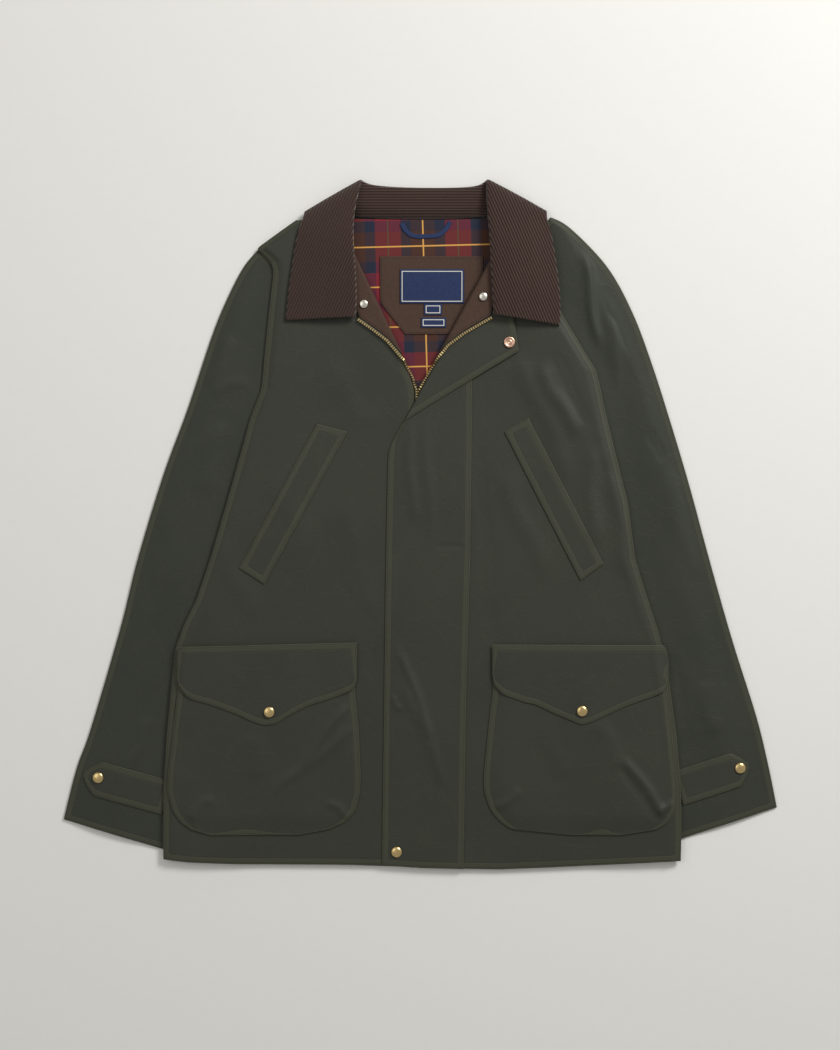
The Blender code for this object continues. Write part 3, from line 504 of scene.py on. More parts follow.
SLEEVE_CREASES = (
    Crease(198.0, 322.0, 212.0, 216.0, 6.0, 3.0), Crease(224.0, 280.0, 262.0, 200.0, 8.0, -2.6),
    Crease(262.0, 200.0, 222.0, 110.0, 12.0, -2.2), Crease(246.0, 290.0, 268.0, 225.0, 6.0, 1.8),
    Crease(230.0, 250.0, 240.0, 150.0, 9.0, 1.6), Crease(276.0, 112.0, 290.0, 78.0, 5.0, -1.2),
    Crease(300.0, 60.0, 330.0, -60.0, 12.0, 0.9), Crease(366.0, -150.0, 368.0, -190.0, 4.0, -1.2),
    Crease(338.0, -190.0, 348.0, -250.0, 10.0, 1.2), Crease(310.0, -150.0, 330.0, -260.0, 10.0, 0.9),
    Crease(-226.0, 222.0, -256.0, 168.0, 8.0, 1.2), Crease(-250.0, 160.0, -205.0, 175.0, 7.0, 1.0),
    Crease(-240.0, 120.0, -262.0, 40.0, 14.0, 1.2), Crease(-300.0, 20.0, -310.0, -70.0, 12.0, 0.9),
    Crease(-326.0, -232.0, -344.0, -287.0, 5.0, 1.6), Crease(-330.0, -90.0, -350.0, -180.0, 10.0, 0.8),
)


def relief(creases: tuple[Crease, ...], x: np.ndarray, y: np.ndarray) -> np.ndarray:
    """Sum of creases and a faint ripple, cut off at a fixed depth.

    Args:
        creases: the creases to sum.
        x: places across the chest.
        y: places from hem to collar.

    Returns:
        The height to add at each place.
    """
    total = sum(crease.at(x, y) for crease in creases)
    ripple = 0.25 * np.sin(x / 31.0 + 1.3 * np.sin(y / 47.0)) * np.sin(y / 39.0 + x / 90.0)
    return np.maximum(CREASE_GAIN * total + ripple, -DEEPEST) * CREASE_SHARE


def base(x: np.ndarray, y: np.ndarray) -> np.ndarray:
    """Height of the lowest layer of a front, with its creases fading out at the neck."""
    calm = 1.0 - smooth((y - 190.0) / 40.0)
    return flat_base(x, y) + relief(FRONT_CREASES, x, y) * calm


def plain(height: Callable) -> Place:
    """A placing that sets each point at a height function plus its place in the stack.

    Args:
        height: gives the height at x, y.

    Returns:
        The placing.
    """
    return lambda points, up: np.column_stack([points, height(points[:, 0], points[:, 1]) + up])


def folded(roll: tuple) -> Place:
    """A placing that turns cloth past a roll line up and back over itself.

    A layer at height h runs round the axis with radius (axis height - h), then lies back upside down.

    Args:
        roll: a point on the roll line, the unit direction up it and the axis height.

    Returns:
        The placing.
    """
    px, py, tx, ty, axis = roll
    side = 1.0 if tx < 0 else -1.0
    mx, my = side * ty, -side * tx
    reach = axis * 0.65
    px, py = px - mx * axis, py - my * axis

    def place(points: np.ndarray, up: np.ndarray) -> np.ndarray:
        """Places flat points at a height in the stack."""
        x, y = points[:, 0], points[:, 1]
        past = (x - px) * mx + (y - py) * my
        turn = np.clip(past / reach, 0.0, math.pi)
        radius = axis - up
        shift = np.where(past > 0.0, radius * np.sin(turn) - np.maximum(past - math.pi * reach, 0.0), past)
        x = x + (shift - past) * mx
        y = y + (shift - past) * my
        return np.column_stack([x, y, base(x, y) + axis - radius * np.cos(turn)])

    return place


def denser(rows: np.ndarray, step: float = STEP) -> np.ndarray:
    """A grid redrawn with more points, evenly spread, with close ones at its borders.

    Args:
        rows: the grid.
        step: distance between points.

    Returns:
        The finer grid.
    """

    def refine(grid: np.ndarray) -> np.ndarray:
        """Makes the first way of a grid finer and eases its corners."""
        gaps = np.linalg.norm(np.diff(grid, axis=0), axis=2).max(axis=1)
        run = np.concatenate([[0.0], np.cumsum(gaps)])
        count = max(3, int(run[-1] / step) + 1)
        at = np.linspace(0.0, run[-1], count)
        rim = np.array([0.5, 1.4])
        at = np.unique(np.concatenate([at, rim, run[-1] - rim]))
        flat = grid.reshape(len(grid), -1)
        made = np.column_stack([np.interp(at, run, column) for column in flat.T])
        soft = made.copy()
        for _ in range(3):
            soft[2:-2] = (soft[1:-3] + 2.0 * soft[2:-2] + soft[3:-1]) / 4.0
        return soft.reshape(len(at), *grid.shape[1:])

    return refine(refine(rows).transpose(1, 0, 2)).transpose(1, 0, 2)


class Finish(Enum):
    """The finishes of the jacket, each with the record's material slot."""

    WAXED = "waxed_cotton"
    SLEEVE = "waxed_cotton_sleeve"
    CORD = "corduroy"
    FACING = "facing_cotton"
    CHECK = "check_lining"
    NAVY = "navy_woven"
    BRASS = "brass"
    SILVER = "silver_metal"
    COPPER = "copper_metal"


@dataclass
class Graph:
    """A material's node tree with short ways to add nodes."""

    name: str
    made: bpy.types.Material = field(init=False)

    def __post_init__(self) -> None:
        """Makes the material and finds its shader."""
        self.made = bpy.data.materials.new(self.name)
        self.made.use_nodes = True
        self.shader = self.made.node_tree.nodes["Principled BSDF"]

    def node(self, kind: str, settings: dict | None = None, **inputs: object) -> bpy.types.Node:
        """Adds a node, sets its properties and constants, and links the sockets given."""
        made = self.made.node_tree.nodes.new(kind)
        for key, value in (settings or {}).items():
            setattr(made, key, value)
        for key, value in inputs.items():
            self.put(made.inputs[key.replace("_", " ")], value)
        return made

    def put(self, socket: bpy.types.NodeSocket, value: object) -> None:
        """Links a socket or sets its constant."""
        if isinstance(value, bpy.types.NodeSocket):
            self.made.node_tree.links.new(value, socket)
        elif isinstance(value, tuple) and socket.type == "RGBA":
            socket.default_value = (*value, 1.0)
        else:
            socket.default_value = value

    def math(self, operation: str, *values: object) -> bpy.types.NodeSocket:
        """A math node of up to three values."""
        made = self.node("ShaderNodeMath", {"operation": operation})
        for socket, value in zip(made.inputs, values):
            self.put(socket, value)
        return made.outputs[0]

    def mix(self, share: object, low: object, high: object, blend: str = "MIX") -> bpy.types.NodeSocket:
        """A colour mix."""
        made = self.node("ShaderNodeMix", {"data_type": "RGBA", "blend_type": blend})
        self.put(made.inputs[0], share)
        self.put(made.inputs[6], low)
        self.put(made.inputs[7], high)
        return made.outputs[2]

    def attribute(self, name: str, output: str = "Fac") -> bpy.types.NodeSocket:
        """A stored value of the mesh."""
        return self.node("ShaderNodeAttribute", {"attribute_name": name}).outputs[output]

    def noise(self, scale: float, detail: float = 3.0) -> bpy.types.NodeSocket:
        """Smooth noise over the object's own coordinates."""
        at = self.node("ShaderNodeTexCoord").outputs["Object"]
        return self.node("ShaderNodeTexNoise", Vector=at, Scale=scale, Detail=detail).outputs["Fac"]

    def band(self, value: object, centre: float, half: float, soft: float) -> bpy.types.NodeSocket:
        """1 within half of a value, falling to 0 over soft."""
        away = self.math("ABSOLUTE", self.math("SUBTRACT", value, centre))
        return self.ramp(self.math("DIVIDE", self.math("SUBTRACT", half + soft, away), soft))

    def ramp(self, value: object) -> bpy.types.NodeSocket:
        """A value kept from 0 to 1."""
        made = self.node("ShaderNodeClamp", Value=value)
        return made.outputs[0]

    def bump(self, height: object, strength: float, distance: float) -> bpy.types.NodeSocket:
        """A bump normal."""
        return self.node("ShaderNodeBump", Height=height, Strength=strength, Distance=distance).outputs[0]


@dataclass(frozen=True)
class Waxed:
    """Waxed cotton: dark olive, mottled, with paler rubbed edges and a double row of stitches painted darker
    as the shade in their sunken grooves.
    """

    slot: Finish
    colour: tuple = (0.0245, 0.0265, 0.0175)
    rubbed: tuple = (0.085, 0.083, 0.042)

    def make(self) -> bpy.types.Material:
        """Builds the material."""
        graph = Graph(self.slot.value)
        edge = graph.attribute("edge")
        cloudy = graph.noise(9.0, 4.0)
        fine = graph.noise(260.0, 2.0)
        veins = graph.math("ABSOLUTE", graph.math("SUBTRACT", graph.noise(26.0, 6.0), 0.5))
        veins = graph.ramp(graph.math("MULTIPLY_ADD", veins, -45.0, 1.0))
        lighter = tuple(1.35 * part for part in self.colour)
        darker = tuple(0.72 * part for part in self.colour)
        colour = graph.mix(cloudy, darker, lighter)
        colour = graph.mix(graph.math("MULTIPLY", fine, 0.35), colour, lighter)
        colour = graph.mix(graph.math("MULTIPLY", veins, 0.05), colour, self.rubbed)
        rub = graph.ramp(graph.math("MULTIPLY_ADD", edge, -0.55, 1.0))
        wear = graph.math("MULTIPLY", rub, graph.math("MULTIPLY_ADD", graph.noise(60.0), 0.9, 0.05))
        seam = graph.math("MULTIPLY", graph.band(edge, 4.0, 2.6, 2.4), 0.22)
        colour = graph.mix(graph.math("MAXIMUM", wear, seam), colour, self.rubbed)
        # The two stitch rows are painted darker: painted shade in the stitched grooves, which the bump below
        # also sinks.
        rows = graph.math("MAXIMUM", graph.band(edge, 1.8, 0.25, 0.3), graph.band(edge, 7.6, 0.3, 0.35))
        colour = graph.mix(graph.math("MULTIPLY", rows, 0.5), colour, (0.02, 0.021, 0.015))
        graph.put(graph.shader.inputs["Base Color"], colour)
        graph.put(graph.shader.inputs["Roughness"], graph.math("MULTIPLY_ADD", cloudy, 0.3, 0.46))
        graph.shader.inputs["Specular IOR Level"].default_value = 0.34
        height = graph.math("MULTIPLY_ADD", rows, -0.8, graph.math("MULTIPLY", fine, 0.25))
        height = graph.math("ADD", height, graph.math("MULTIPLY", veins, 0.3))
        graph.put(graph.shader.inputs["Normal"], graph.bump(height, 0.5, 0.0006))
        return graph.made


@dataclass(frozen=True)
class Corduroy:
    """Corduroy: round wales along the stored rib distance, painted dark between them as shade in the troughs
    and paler on the crests as painted light.
    """

    slot: Finish = Finish.CORD
    pitch: float = 3.3

    def make(self) -> bpy.types.Material:
        """Builds the material."""
        graph = Graph(self.slot.value)
        phase = graph.math("MULTIPLY", graph.attribute("rib"), 2.0 * math.pi / self.pitch)
        wale_height_and_shade = graph.math("MULTIPLY_ADD", graph.math("SINE", phase), 0.5, 0.5)
        nap = graph.noise(420.0, 2.0)
        worn = graph.noise(16.0, 4.0)
        # Painted shade and light: the dark colour lies in the troughs between the wales, the paler one on
        # their crests.
        colour = graph.mix(wale_height_and_shade, (0.012, 0.006, 0.0045), (0.062, 0.032, 0.023))
        colour = graph.mix(graph.math("MULTIPLY", worn, 0.35), colour, (0.085, 0.047, 0.034))
        colour = graph.mix(graph.math("MULTIPLY", nap, 0.3), colour, (0.02, 0.010, 0.008))
        graph.put(graph.shader.inputs["Base Color"], colour)
        graph.shader.inputs["Roughness"].default_value = 0.85
        graph.shader.inputs["Sheen Weight"].default_value = 0.25
        graph.shader.inputs["Specular IOR Level"].default_value = 0.15
        height = graph.math("MULTIPLY_ADD", nap, 0.3, wale_height_and_shade)
        graph.put(graph.shader.inputs["Normal"], graph.bump(height, 0.9, 0.0011))
        return graph.made


@dataclass(frozen=True)
class Plain:
    """A plain cloth with a fine grain, and a bare frame line where frame_at is set."""

    slot: Finish
    colour: tuple
    frame_at: float = 0.0

    def make(self) -> bpy.types.Material:
        """Builds the material."""
        graph = Graph(self.slot.value)
        grain = graph.noise(300.0, 2.0)
        cloudy = graph.noise(20.0, 3.0)
        darker = tuple(0.7 * part for part in self.colour)
        lighter = tuple(1.3 * part for part in self.colour)
        thread = tuple(0.35 * part for part in self.colour)
        colour = graph.mix(grain, darker, lighter)
        colour = graph.mix(graph.math("MULTIPLY", cloudy, 0.4), colour, lighter)
        stitch = graph.band(graph.attribute("edge"), 2.4, 0.25, 0.3)
        colour = graph.mix(graph.math("MULTIPLY", stitch, 0.5), colour, thread)
        if self.frame_at:
            line = graph.band(graph.attribute("edge"), self.frame_at, 0.3, 0.25)
            colour = graph.mix(line, colour, (0.7, 0.68, 0.6))
        graph.put(graph.shader.inputs["Base Color"], colour)
        graph.shader.inputs["Roughness"].default_value = 0.85
        graph.shader.inputs["Specular IOR Level"].default_value = 0.2
        graph.put(graph.shader.inputs["Normal"], graph.bump(grain, 0.4, 0.0004))
        return graph.made


@dataclass(frozen=True)
class Check:
    """A large check woven of red, navy and brown bands with fine yellow and green lines."""

    slot: Finish = Finish.CHECK
    red: tuple = (0.19, 0.018, 0.028)
    navy: tuple = (0.018, 0.022, 0.040)
    brown: tuple = (0.060, 0.026, 0.018)

    def bands(self, graph: Graph, value: object, centre: float, period: float, halves: tuple) -> tuple:
        """Colour across one way of the weave, and the distance from the nearest red band's middle."""
        shifted = graph.math("ADD", value, period / 2 - centre)
        within = graph.math("FLOORED_MODULO", shifted, period)
        turned = graph.math("SUBTRACT", within, period / 2)
        away = graph.math("ABSOLUTE", turned)
        colour = graph.mix(graph.band(away, 0.0, halves[1], 0.4), self.brown, self.navy)
        return graph.mix(graph.band(away, 0.0, halves[0], 0.4), colour, self.red), away

    def make(self) -> bpy.types.Material:
        """Builds the material."""
        graph = Graph(self.slot.value)
        at = graph.node("ShaderNodeTexCoord").outputs["Object"]
        split = graph.node("ShaderNodeSeparateXYZ", Vector=at)
        x = graph.math("MULTIPLY", split.outputs["X"], 1000.0)
        y = graph.math("MULTIPLY", split.outputs["Y"], 1000.0)
        x = graph.math("MULTIPLY_ADD", split.outputs["Y"], 30.0, x)
        y = graph.math("MULTIPLY_ADD", split.outputs["X"], -25.0, y)
        warp, x_away = self.bands(graph, x, -28.0, 84.0, (15.3, 27.4))
        weft, y_away = self.bands(graph, y, 286.0, 96.0, (16.8, 30.0))
        diagonal = graph.math("SINE", graph.math("MULTIPLY", graph.math("ADD", x, y), 4.0))
        twill = graph.math("MULTIPLY_ADD", diagonal, 0.18, 0.5)
        colour = graph.mix(twill, warp, weft)
        green = graph.band(x_away, 0.0, 0.5, 0.3)
        colour = graph.mix(graph.math("MULTIPLY", green, 0.8), colour, (0.07, 0.075, 0.03))
        yellow = graph.band(x_away, 42.0, 0.7, 0.3)
        yellow = graph.math("MAXIMUM", yellow, graph.band(y_away, 0.0, 0.7, 0.3))
        yellow = graph.math("MAXIMUM", yellow, graph.band(y_away, 48.0, 0.7, 0.3))
        colour = graph.mix(yellow, colour, (0.62, 0.32, 0.075))
        graph.put(graph.shader.inputs["Base Color"], colour)
        graph.shader.inputs["Roughness"].default_value = 0.85
        graph.shader.inputs["Specular IOR Level"].default_value = 0.2
        graph.put(graph.shader.inputs["Normal"], graph.bump(graph.noise(500.0), 0.3, 0.0003))
        return graph.made


@dataclass(frozen=True)
class Metal:
    """A polished metal with a slight unevenness."""

    slot: Finish
    colour: tuple
    rough: float = 0.22

    def make(self) -> bpy.types.Material:
        """Builds the material."""
        graph = Graph(self.slot.value)
        worn = graph.noise(300.0, 3.0)
        dull = tuple(0.8 * part for part in self.colour)
        graph.put(graph.shader.inputs["Base Color"], graph.mix(worn, dull, self.colour))
        graph.shader.inputs["Metallic"].default_value = 1.0
        graph.put(graph.shader.inputs["Roughness"], graph.math("MULTIPLY_ADD", worn, 0.15, self.rough))
        return graph.made


@dataclass
class Wardrobe:
    """The finishes made once, by name."""

    made: dict = field(default_factory=dict)

    def build(self) -> None:
        """Makes every finish."""
        kinds = (Waxed(Finish.WAXED), Waxed(Finish.SLEEVE, (0.022, 0.0245, 0.0165)), Corduroy(),
                 Plain(Finish.FACING, (0.060, 0.035, 0.025)), Check(),
                 Plain(Finish.NAVY, (0.020, 0.032, 0.085), 2.6),
                 Metal(Finish.BRASS, (0.75, 0.56, 0.26)), Metal(Finish.SILVER, (0.85, 0.8, 0.7)),
                 Metal(Finish.COPPER, (0.8, 0.5, 0.36), 0.3))
        self.made = {kind.slot: kind.make() for kind in kinds}


@dataclass
class Sheet:
    """One piece of cloth: a flat grid placed in the jacket as a thin closed shell with soft edges."""

    name: str
    finish: Finish
    rows: np.ndarray
    place: Place
    low: float
    thick: float = CLOTH
    rests: str = "back_panel"
    step: float = STEP
    stated: bool = True
    stitched: bool = True

    def build(self, wardrobe: Wardrobe) -> bpy.types.Object:
        """Builds the shell from both faces placed over the flat points, rounded off at its rim.

        Args:
            wardrobe: the finishes.

        Returns:
            The finished piece.
        """
        rows = denser(self.rows, self.step)
        down, across = rows.shape[:2]
        flat = rows.reshape(-1, 2)
        edge = self.edge_of(rows).ravel()
        round_off = self.thick * 0.42 * (1.0 - np.sqrt(np.clip(edge / RIM_ROUND, 0.0, 1.0)))
        top = self.place(flat, self.low + self.thick - round_off)
        bottom = self.place(flat, self.low + round_off * 0.6)
        made = shell(self.name, top, bottom, down, across)
        store(made, "edge", np.tile(edge + (0.0 if self.stitched else UNSTITCHED), 2))
        made.data.materials.append(wardrobe.made[self.finish])
        dress(made, self.name, self.finish)
        return made

    @staticmethod
    def edge_of(rows: np.ndarray) -> np.ndarray:
        """Distance of each point from the nearest border, measured along the grid."""
        def run(axis: int) -> np.ndarray:
            """Distance to the nearer end along one way of the grid."""
            steps = np.linalg.norm(np.diff(rows, axis=axis), axis=2)
            pad = ((1, 0), (0, 0)) if axis == 0 else ((0, 0), (1, 0))
            total = np.cumsum(np.pad(steps, pad), axis=axis)
            end = total[-1:, :] if axis == 0 else total[:, -1:]
            return np.minimum(total, end - total)
        return np.minimum(run(0), run(1))


def shell(name: str, top: np.ndarray, bottom: np.ndarray, down: int, across: int) -> bpy.types.Object:
    """A closed mesh of two copies of a grid and the strip that joins their borders.

    Args:
        name: the mesh's name.
        top: points of the upper face.
        bottom: points of the lower face.
        down: rows of the grid.
        across: points in a row.

    Returns:
        The object.
    """
    i, j = np.meshgrid(np.arange(down - 1), np.arange(across - 1), indexing="ij")
    a = (i * across + j).ravel()
    quads = np.column_stack([a, a + across, a + across + 1, a + 1])
    corner = top[quads[:, 2]] - top[quads[:, 0]]
    other = top[quads[:, 3]] - top[quads[:, 1]]
    facing = (np.cross(corner, other) * (top[quads[:, 0]] - bottom[quads[:, 0]])).sum()
    if facing < 0.0:
        quads = quads[:, ::-1]
    count = down * across
    ends = np.concatenate([quads[:, [k, (k + 1) % 4]] for k in range(4)])
    known = set(map(tuple, ends.tolist()))
    rim = [(p, q) for p, q in ends.tolist() if (q, p) not in known]
    walls = [(q, p, p + count, q + count) for p, q in rim]
    faces = quads.tolist() + (quads[:, ::-1] + count).tolist() + walls
    mesh = bpy.data.meshes.new(name)
    mesh.from_pydata((np.concatenate([top, bottom]) * MM).tolist(), [], faces)
    mesh.polygons.foreach_set("use_smooth", [True] * len(mesh.polygons))
    made = bpy.data.objects.new(name, mesh)
    bpy.context.scene.collection.objects.link(made)
    return made


def store(piece: bpy.types.Object, name: str, values: np.ndarray) -> None:
    """Stores a value at each point of a mesh."""
    piece.data.attributes.new(name, "FLOAT", "POINT").data.foreach_set("value", values.astype(np.float32))


def dress(piece: bpy.types.Object, node: str, finish: Finish) -> None:
    """Ties a piece to the frame: it rides on the root and stands for its solid.

    Args:
        piece: the object.
        node: the solid that it stands for.
        finish: its finish; not used.
    """
    piece.name = node + "_look"
    LOG.info("dressed %s", node)
    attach(piece, "root")
    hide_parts(node)


def front_top(x: np.ndarray, y: np.ndarray) -> np.ndarray:
    """Height of a front's upper face."""
    return base(x, y) + OUTER_LOW + CLOTH


@dataclass
class Body:
    """Back and fronts."""

    shares: tuple = (0.0, 0.1, 0.3, 0.5, 0.7, 0.9, 1.0)
    back_step: float = 6.0
    front_step: float = 3.2

    def build(self, wardrobe: Wardrobe) -> None:
        """Builds the three body pieces.

        Args:
            wardrobe: the finishes.
        """
        rows = spread(*pair_edges(BACK_ROWS, EDGE_RIGHT, BACK_LEFT), self.shares)
        across = np.abs(rows[0, :, 0])
        rows[0, :, 1] += 3.0 * (across / 86.0) ** 2 * smooth((110.0 - across) / 24.0)
        Sheet("back_panel", Finish.WAXED, to_hem(rows), plain(lift), 0.0, rests="floor",
              step=self.back_step).build(wardrobe)
        for name, pairs, edge, centre, inset, roll in (
            ("front_right", FRONT_RIGHT_ROWS, EDGE_RIGHT, CENTRE_RIGHT, -ZIP_CLEAR, ROLL_RIGHT),
            ("front_left", FRONT_LEFT_ROWS, EDGE_LEFT, CENTRE_LEFT, ZIP_CLEAR, ROLL_LEFT),
        ):
            rows = to_hem(spread(*pair_edges(pairs, edge, centre, inset), self.shares))
            Sheet(name, Finish.WAXED, rows, folded(roll), OUTER_LOW, step=self.front_step).build(wardrobe)


# A zip tooth: its eight corners as along, across and up, and its six faces.
TOOTH_CORNERS = ((-1, -1, -1), (1, -1, -1), (1, 1, -1), (-1, 1, -1),
                 (-1, -1, 1), (1, -1, 1), (1, 1, 1), (-1, 1, 1))
TOOTH_FACES = ((0, 3, 2, 1), (4, 5, 6, 7), (0, 1, 5, 4), (1, 2, 6, 5), (2, 3, 7, 6), (3, 0, 4, 7))


@dataclass
class Lapels:
    """Facings, zip and storm flap."""

    turned_right: tuple = (335.0, 316.0, 295.0, 272.0, 250.0, 229.0, 198.0, 162.0)
    turned_left: tuple = (330.0, 319.0, 300.0, 282.0, 244.0, 220.0, 187.0, 162.0)
    facing_end: float = 148.0
    tuck: float = 14.0
    tooth_pitch: float = 3.0
    flap_step: float = 2.2

    def build(self, wardrobe: Wardrobe) -> None:
        """Builds what turns out with the fronts."""
        for side, centre, roll, sign in (("right", CENTRE_RIGHT, ROLL_RIGHT, -1.0),
                                         ("left", CENTRE_LEFT, ROLL_LEFT, 1.0)):
            place = folded(roll)
            turned = list(self.turned_right if side == "right" else self.turned_left)
            ys = np.array(turned + [self.facing_end])
            free = edge_points(centre, ys, inset=sign * ZIP_CLEAR)
            line = roll[0] + (ys - roll[1]) * roll[2] / roll[3] + sign * self.tuck
            inner = np.column_stack([sign * np.maximum(sign * line, sign * free[:, 0] + self.tuck), ys])
            Sheet("facing_" + side, Finish.FACING, spread(free, inner, (0.0, 0.5, 1.0)), place, 0.0, FACING,
                  "front_" + side, 1.6).build(wardrobe)
            ys = np.array(turned[3:] + [60.0, -60.0, -180.0, -300.0, -392.0])
            edge = edge_points(centre, ys, inset=sign * 0.5)
            tape = edge_points(centre, ys, inset=sign * ZIP_WIDE)
            made = Sheet("zip_" + side, Finish.BRASS, spread(edge, tape, (0.0, 1.0)), place, 0.4, 1.4,
                         "front_" + side, 1.2, stated=False).build(wardrobe)
            made.data.materials[0] = wardrobe.made[Finish.WAXED]
            self.teeth(side, edge_points(centre, ys, inset=sign * 1.6), place, wardrobe)
        ys = np.sort(np.array([r[0] for r in STORM[:-1]] + [260.0, 30.0, -300.0, -365.0, -400.0]))[::-1]
        rows = spread(edge_points(STORM, ys), edge_points(STORM, ys, 2), (0.0, 0.08, 0.5, 1.0))
        rows[..., 1] -= (62.0 - rows[..., 0]) * STORM_SLOPE * smooth((rows[..., 1] - 223.0) / 103.0)
        Sheet("storm_flap", Finish.WAXED, to_hem(rows), folded(ROLL_LEFT), STORM_LOW, rests="front_left",
              step=self.flap_step).build(wardrobe)

    def teeth(self, side: str, line: np.ndarray, place: Place, wardrobe: Wardrobe) -> None:
        """Brass teeth 3 mm apart along the zip's free edge, as small blocks with sloped ends."""
        run = np.concatenate([[0.0], np.cumsum(np.linalg.norm(np.diff(line, axis=0), axis=1))])
        at = np.arange(1.0, run[-1] - 1.0, self.tooth_pitch)
        spots = np.column_stack([np.interp(at, run, line[:, k]) for k in (0, 1)])
        low, high = place(spots, np.full(len(spots), 0.1)), place(spots, np.full(len(spots), 2.5))
        along_it = np.gradient(low, axis=0)
        along_it /= np.linalg.norm(along_it, axis=1)[:, None]
        up = (high - low) / np.linalg.norm(high - low, axis=1)[:, None]
        side_way = np.cross(along_it, up)
        middle = (low + high) / 2.0
        verts, faces = [], []
        for k in range(len(spots)):
            start = len(verts)
            for a, s, u in TOOTH_CORNERS:
                small = 0.75 if u > 0 else 1.0
                flat_way = along_it[k] * a * 0.85 * small + side_way[k] * s * 1.5 * small
                corner = middle[k] + flat_way + up[k] * u * 1.2
                verts.append((corner * MM).tolist())
            faces += [[start + n for n in f] for f in TOOTH_FACES]
        mesh = bpy.data.meshes.new("teeth_" + side)
        mesh.from_pydata(verts, [], faces)
        mesh.materials.append(wardrobe.made[Finish.BRASS])
        made = bpy.data.objects.new("teeth_" + side, mesh)
        bpy.context.scene.collection.objects.link(made)
        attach(made, "root")


@dataclass
class Neck:
    """Lining, patch, labels and hanger loop seen in the neck."""

    def build(self, wardrobe: Wardrobe) -> None:
        """Builds the pieces seen inside the neck."""
        def low(up: float) -> Place:
            """A placing at a height over the back."""
            return plain(lambda x, y: lift(x, y) + up)

        ys = np.array([365.0, 334.0, 300.0, 257.0, 210.0, 166.0, 144.0])
        rows = spread(edge_points(LINING_ROWS, ys), edge_points(LINING_ROWS, ys, 2),
                      (0.0, 0.25, 0.5, 0.75, 1.0))
        rows[0, :, 1] += 3.0 * (rows[0, :, 0] / 86.0) ** 2 * smooth((110.0 - np.abs(rows[0, :, 0])) / 24.0)
        Sheet("back_lining", Finish.CHECK, rows, low(LINING_LOW), 0.0, LINING, step=3.0).build(wardrobe)
        over = LINING_LOW + LINING + 1.5 * GAP
        ys = np.array([321.6, 270.0, 265.2, 228.6])
        rows = spread(edge_points(PATCH_ROWS, ys), edge_points(PATCH_ROWS, ys, 2), (0.0, 0.5, 1.0))
        Sheet("label_patch", Finish.FACING, rows, low(over), 0.0, LINING, "back_lining", 1.6).build(wardrobe)
        over += LINING + GAP
        for name, x0, x1, y0, y1 in (("label_main", -24.0, 52.8, 265.2, 306.0),
                                     ("label_size", 4.8, 26.4, 251.4, 264.9),
                                     ("label_origin", 1.2, 31.2, 236.4, 248.4)):
            rows = spread(np.array([[x0, y1], [x0, y0]]), np.array([[x1, y1], [x1, y0]]), (0.0, 1.0))
            Sheet(name, Finish.NAVY, rows, low(over), 0.0, LINING, "label_patch", 0.8).build(wardrobe)
        t = np.linspace(-1.0, 1.0, 25)
        middle = np.column_stack([7.0 + 29.0 * t, 345.5 + 16.5 * t**4 + 1.0 * t])
        way = np.gradient(middle, axis=0)
        side = np.column_stack([-way[:, 1], way[:, 0]])
        side = side / np.linalg.norm(side, axis=1)[:, None] * 2.7
        Sheet("hanger_loop", Finish.NAVY, spread(middle + side, middle - side, (0.0, 1.0)),
              low(LINING_LOW + LINING + GAP), 0.0, LINING, "back_lining", 0.9, stated=False,
              stitched=False).build(wardrobe)


def sleeve_puff(table: list, x: np.ndarray, y: np.ndarray, share: np.ndarray) -> np.ndarray:
    """How far a sleeve's front stands off its back, with its creases: closed at the outer edge."""
    right = table is SLEEVE_RIGHT
    body = along(EDGE_RIGHT if right else EDGE_LEFT, y)
    outside = body - x if right else x - body
    free = smooth((outside - 6.0) / 30.0) * smooth(share / 0.2)
    return 2.4 * smooth((outside - 8.0) / 45.0) * smooth(share / 0.3) + relief(SLEEVE_CREASES, x, y) * free


def sleeve_top(table: list, x: np.ndarray, y: np.ndarray) -> np.ndarray:
    """Height of a sleeve's upper face."""
    rows = np.array(table)
    outer = np.interp(y, rows[::-1, 1], rows[::-1, 0])
    share = (x - outer) / (inner_edge(table, y) - outer)
    return 2.0 * CLOTH + GAP + sleeve_puff(table, x, y, share)


@dataclass
class Sleeves:
    """Sleeves in front and back pieces, with their cuff tabs."""

    rows: int = 60
    back_step: float = 6.0
    front_step: float = 3.0
    tab_step: float = 1.6

    def build(self, wardrobe: Wardrobe) -> None:
        """Builds both sleeves and both tabs."""
        for side, table in (("right", SLEEVE_RIGHT), ("left", SLEEVE_LEFT)):
            rows = eased(table, self.rows)
            rows = spread(rows[:, :2], rows[:, 2:], (0.0, 0.5, 1.0))
            Sheet("sleeve_" + side + "_back", Finish.SLEEVE, rows, plain(lambda x, y: 0.0 * x), 0.0,
                  rests="floor", step=self.back_step).build(wardrobe)
            Sheet("sleeve_" + side + "_front", Finish.SLEEVE, rows,
                  plain(lambda x, y, t=table: sleeve_top(t, x, y) - CLOTH), 0.0,
                  rests="sleeve_" + side + "_back", step=self.front_step).build(wardrobe)
        for side, table, tab in (("right", SLEEVE_RIGHT, TAB_RIGHT), ("left", SLEEVE_LEFT, TAB_LEFT)):
            x0, y0, x1, y1, half = tab
            reach = math.hypot(x1 - x0, y1 - y0)
            ux, uy = (x1 - x0) / reach, (y1 - y0) / reach
            s = np.array([0.0, 0.4, 0.82, 0.93, 1.0])
            wide = half * np.array([1.0, 1.0, 1.0, 0.55, 0.12])
            middle = np.column_stack([x0 + ux * reach * s, y0 + uy * reach * s])
            over = np.column_stack([-uy * wide, ux * wide])
            place = plain(lambda x, y, t=table: sleeve_top(t, x, y) + 2.0 * GAP)
            rows = spread(middle + over, middle - over, (0.0, 0.5, 1.0))
            Sheet("cuff_tab_" + side, Finish.WAXED, rows, place, 0.0,
                  rests="sleeve_" + side + "_front", step=self.tab_step).build(wardrobe)


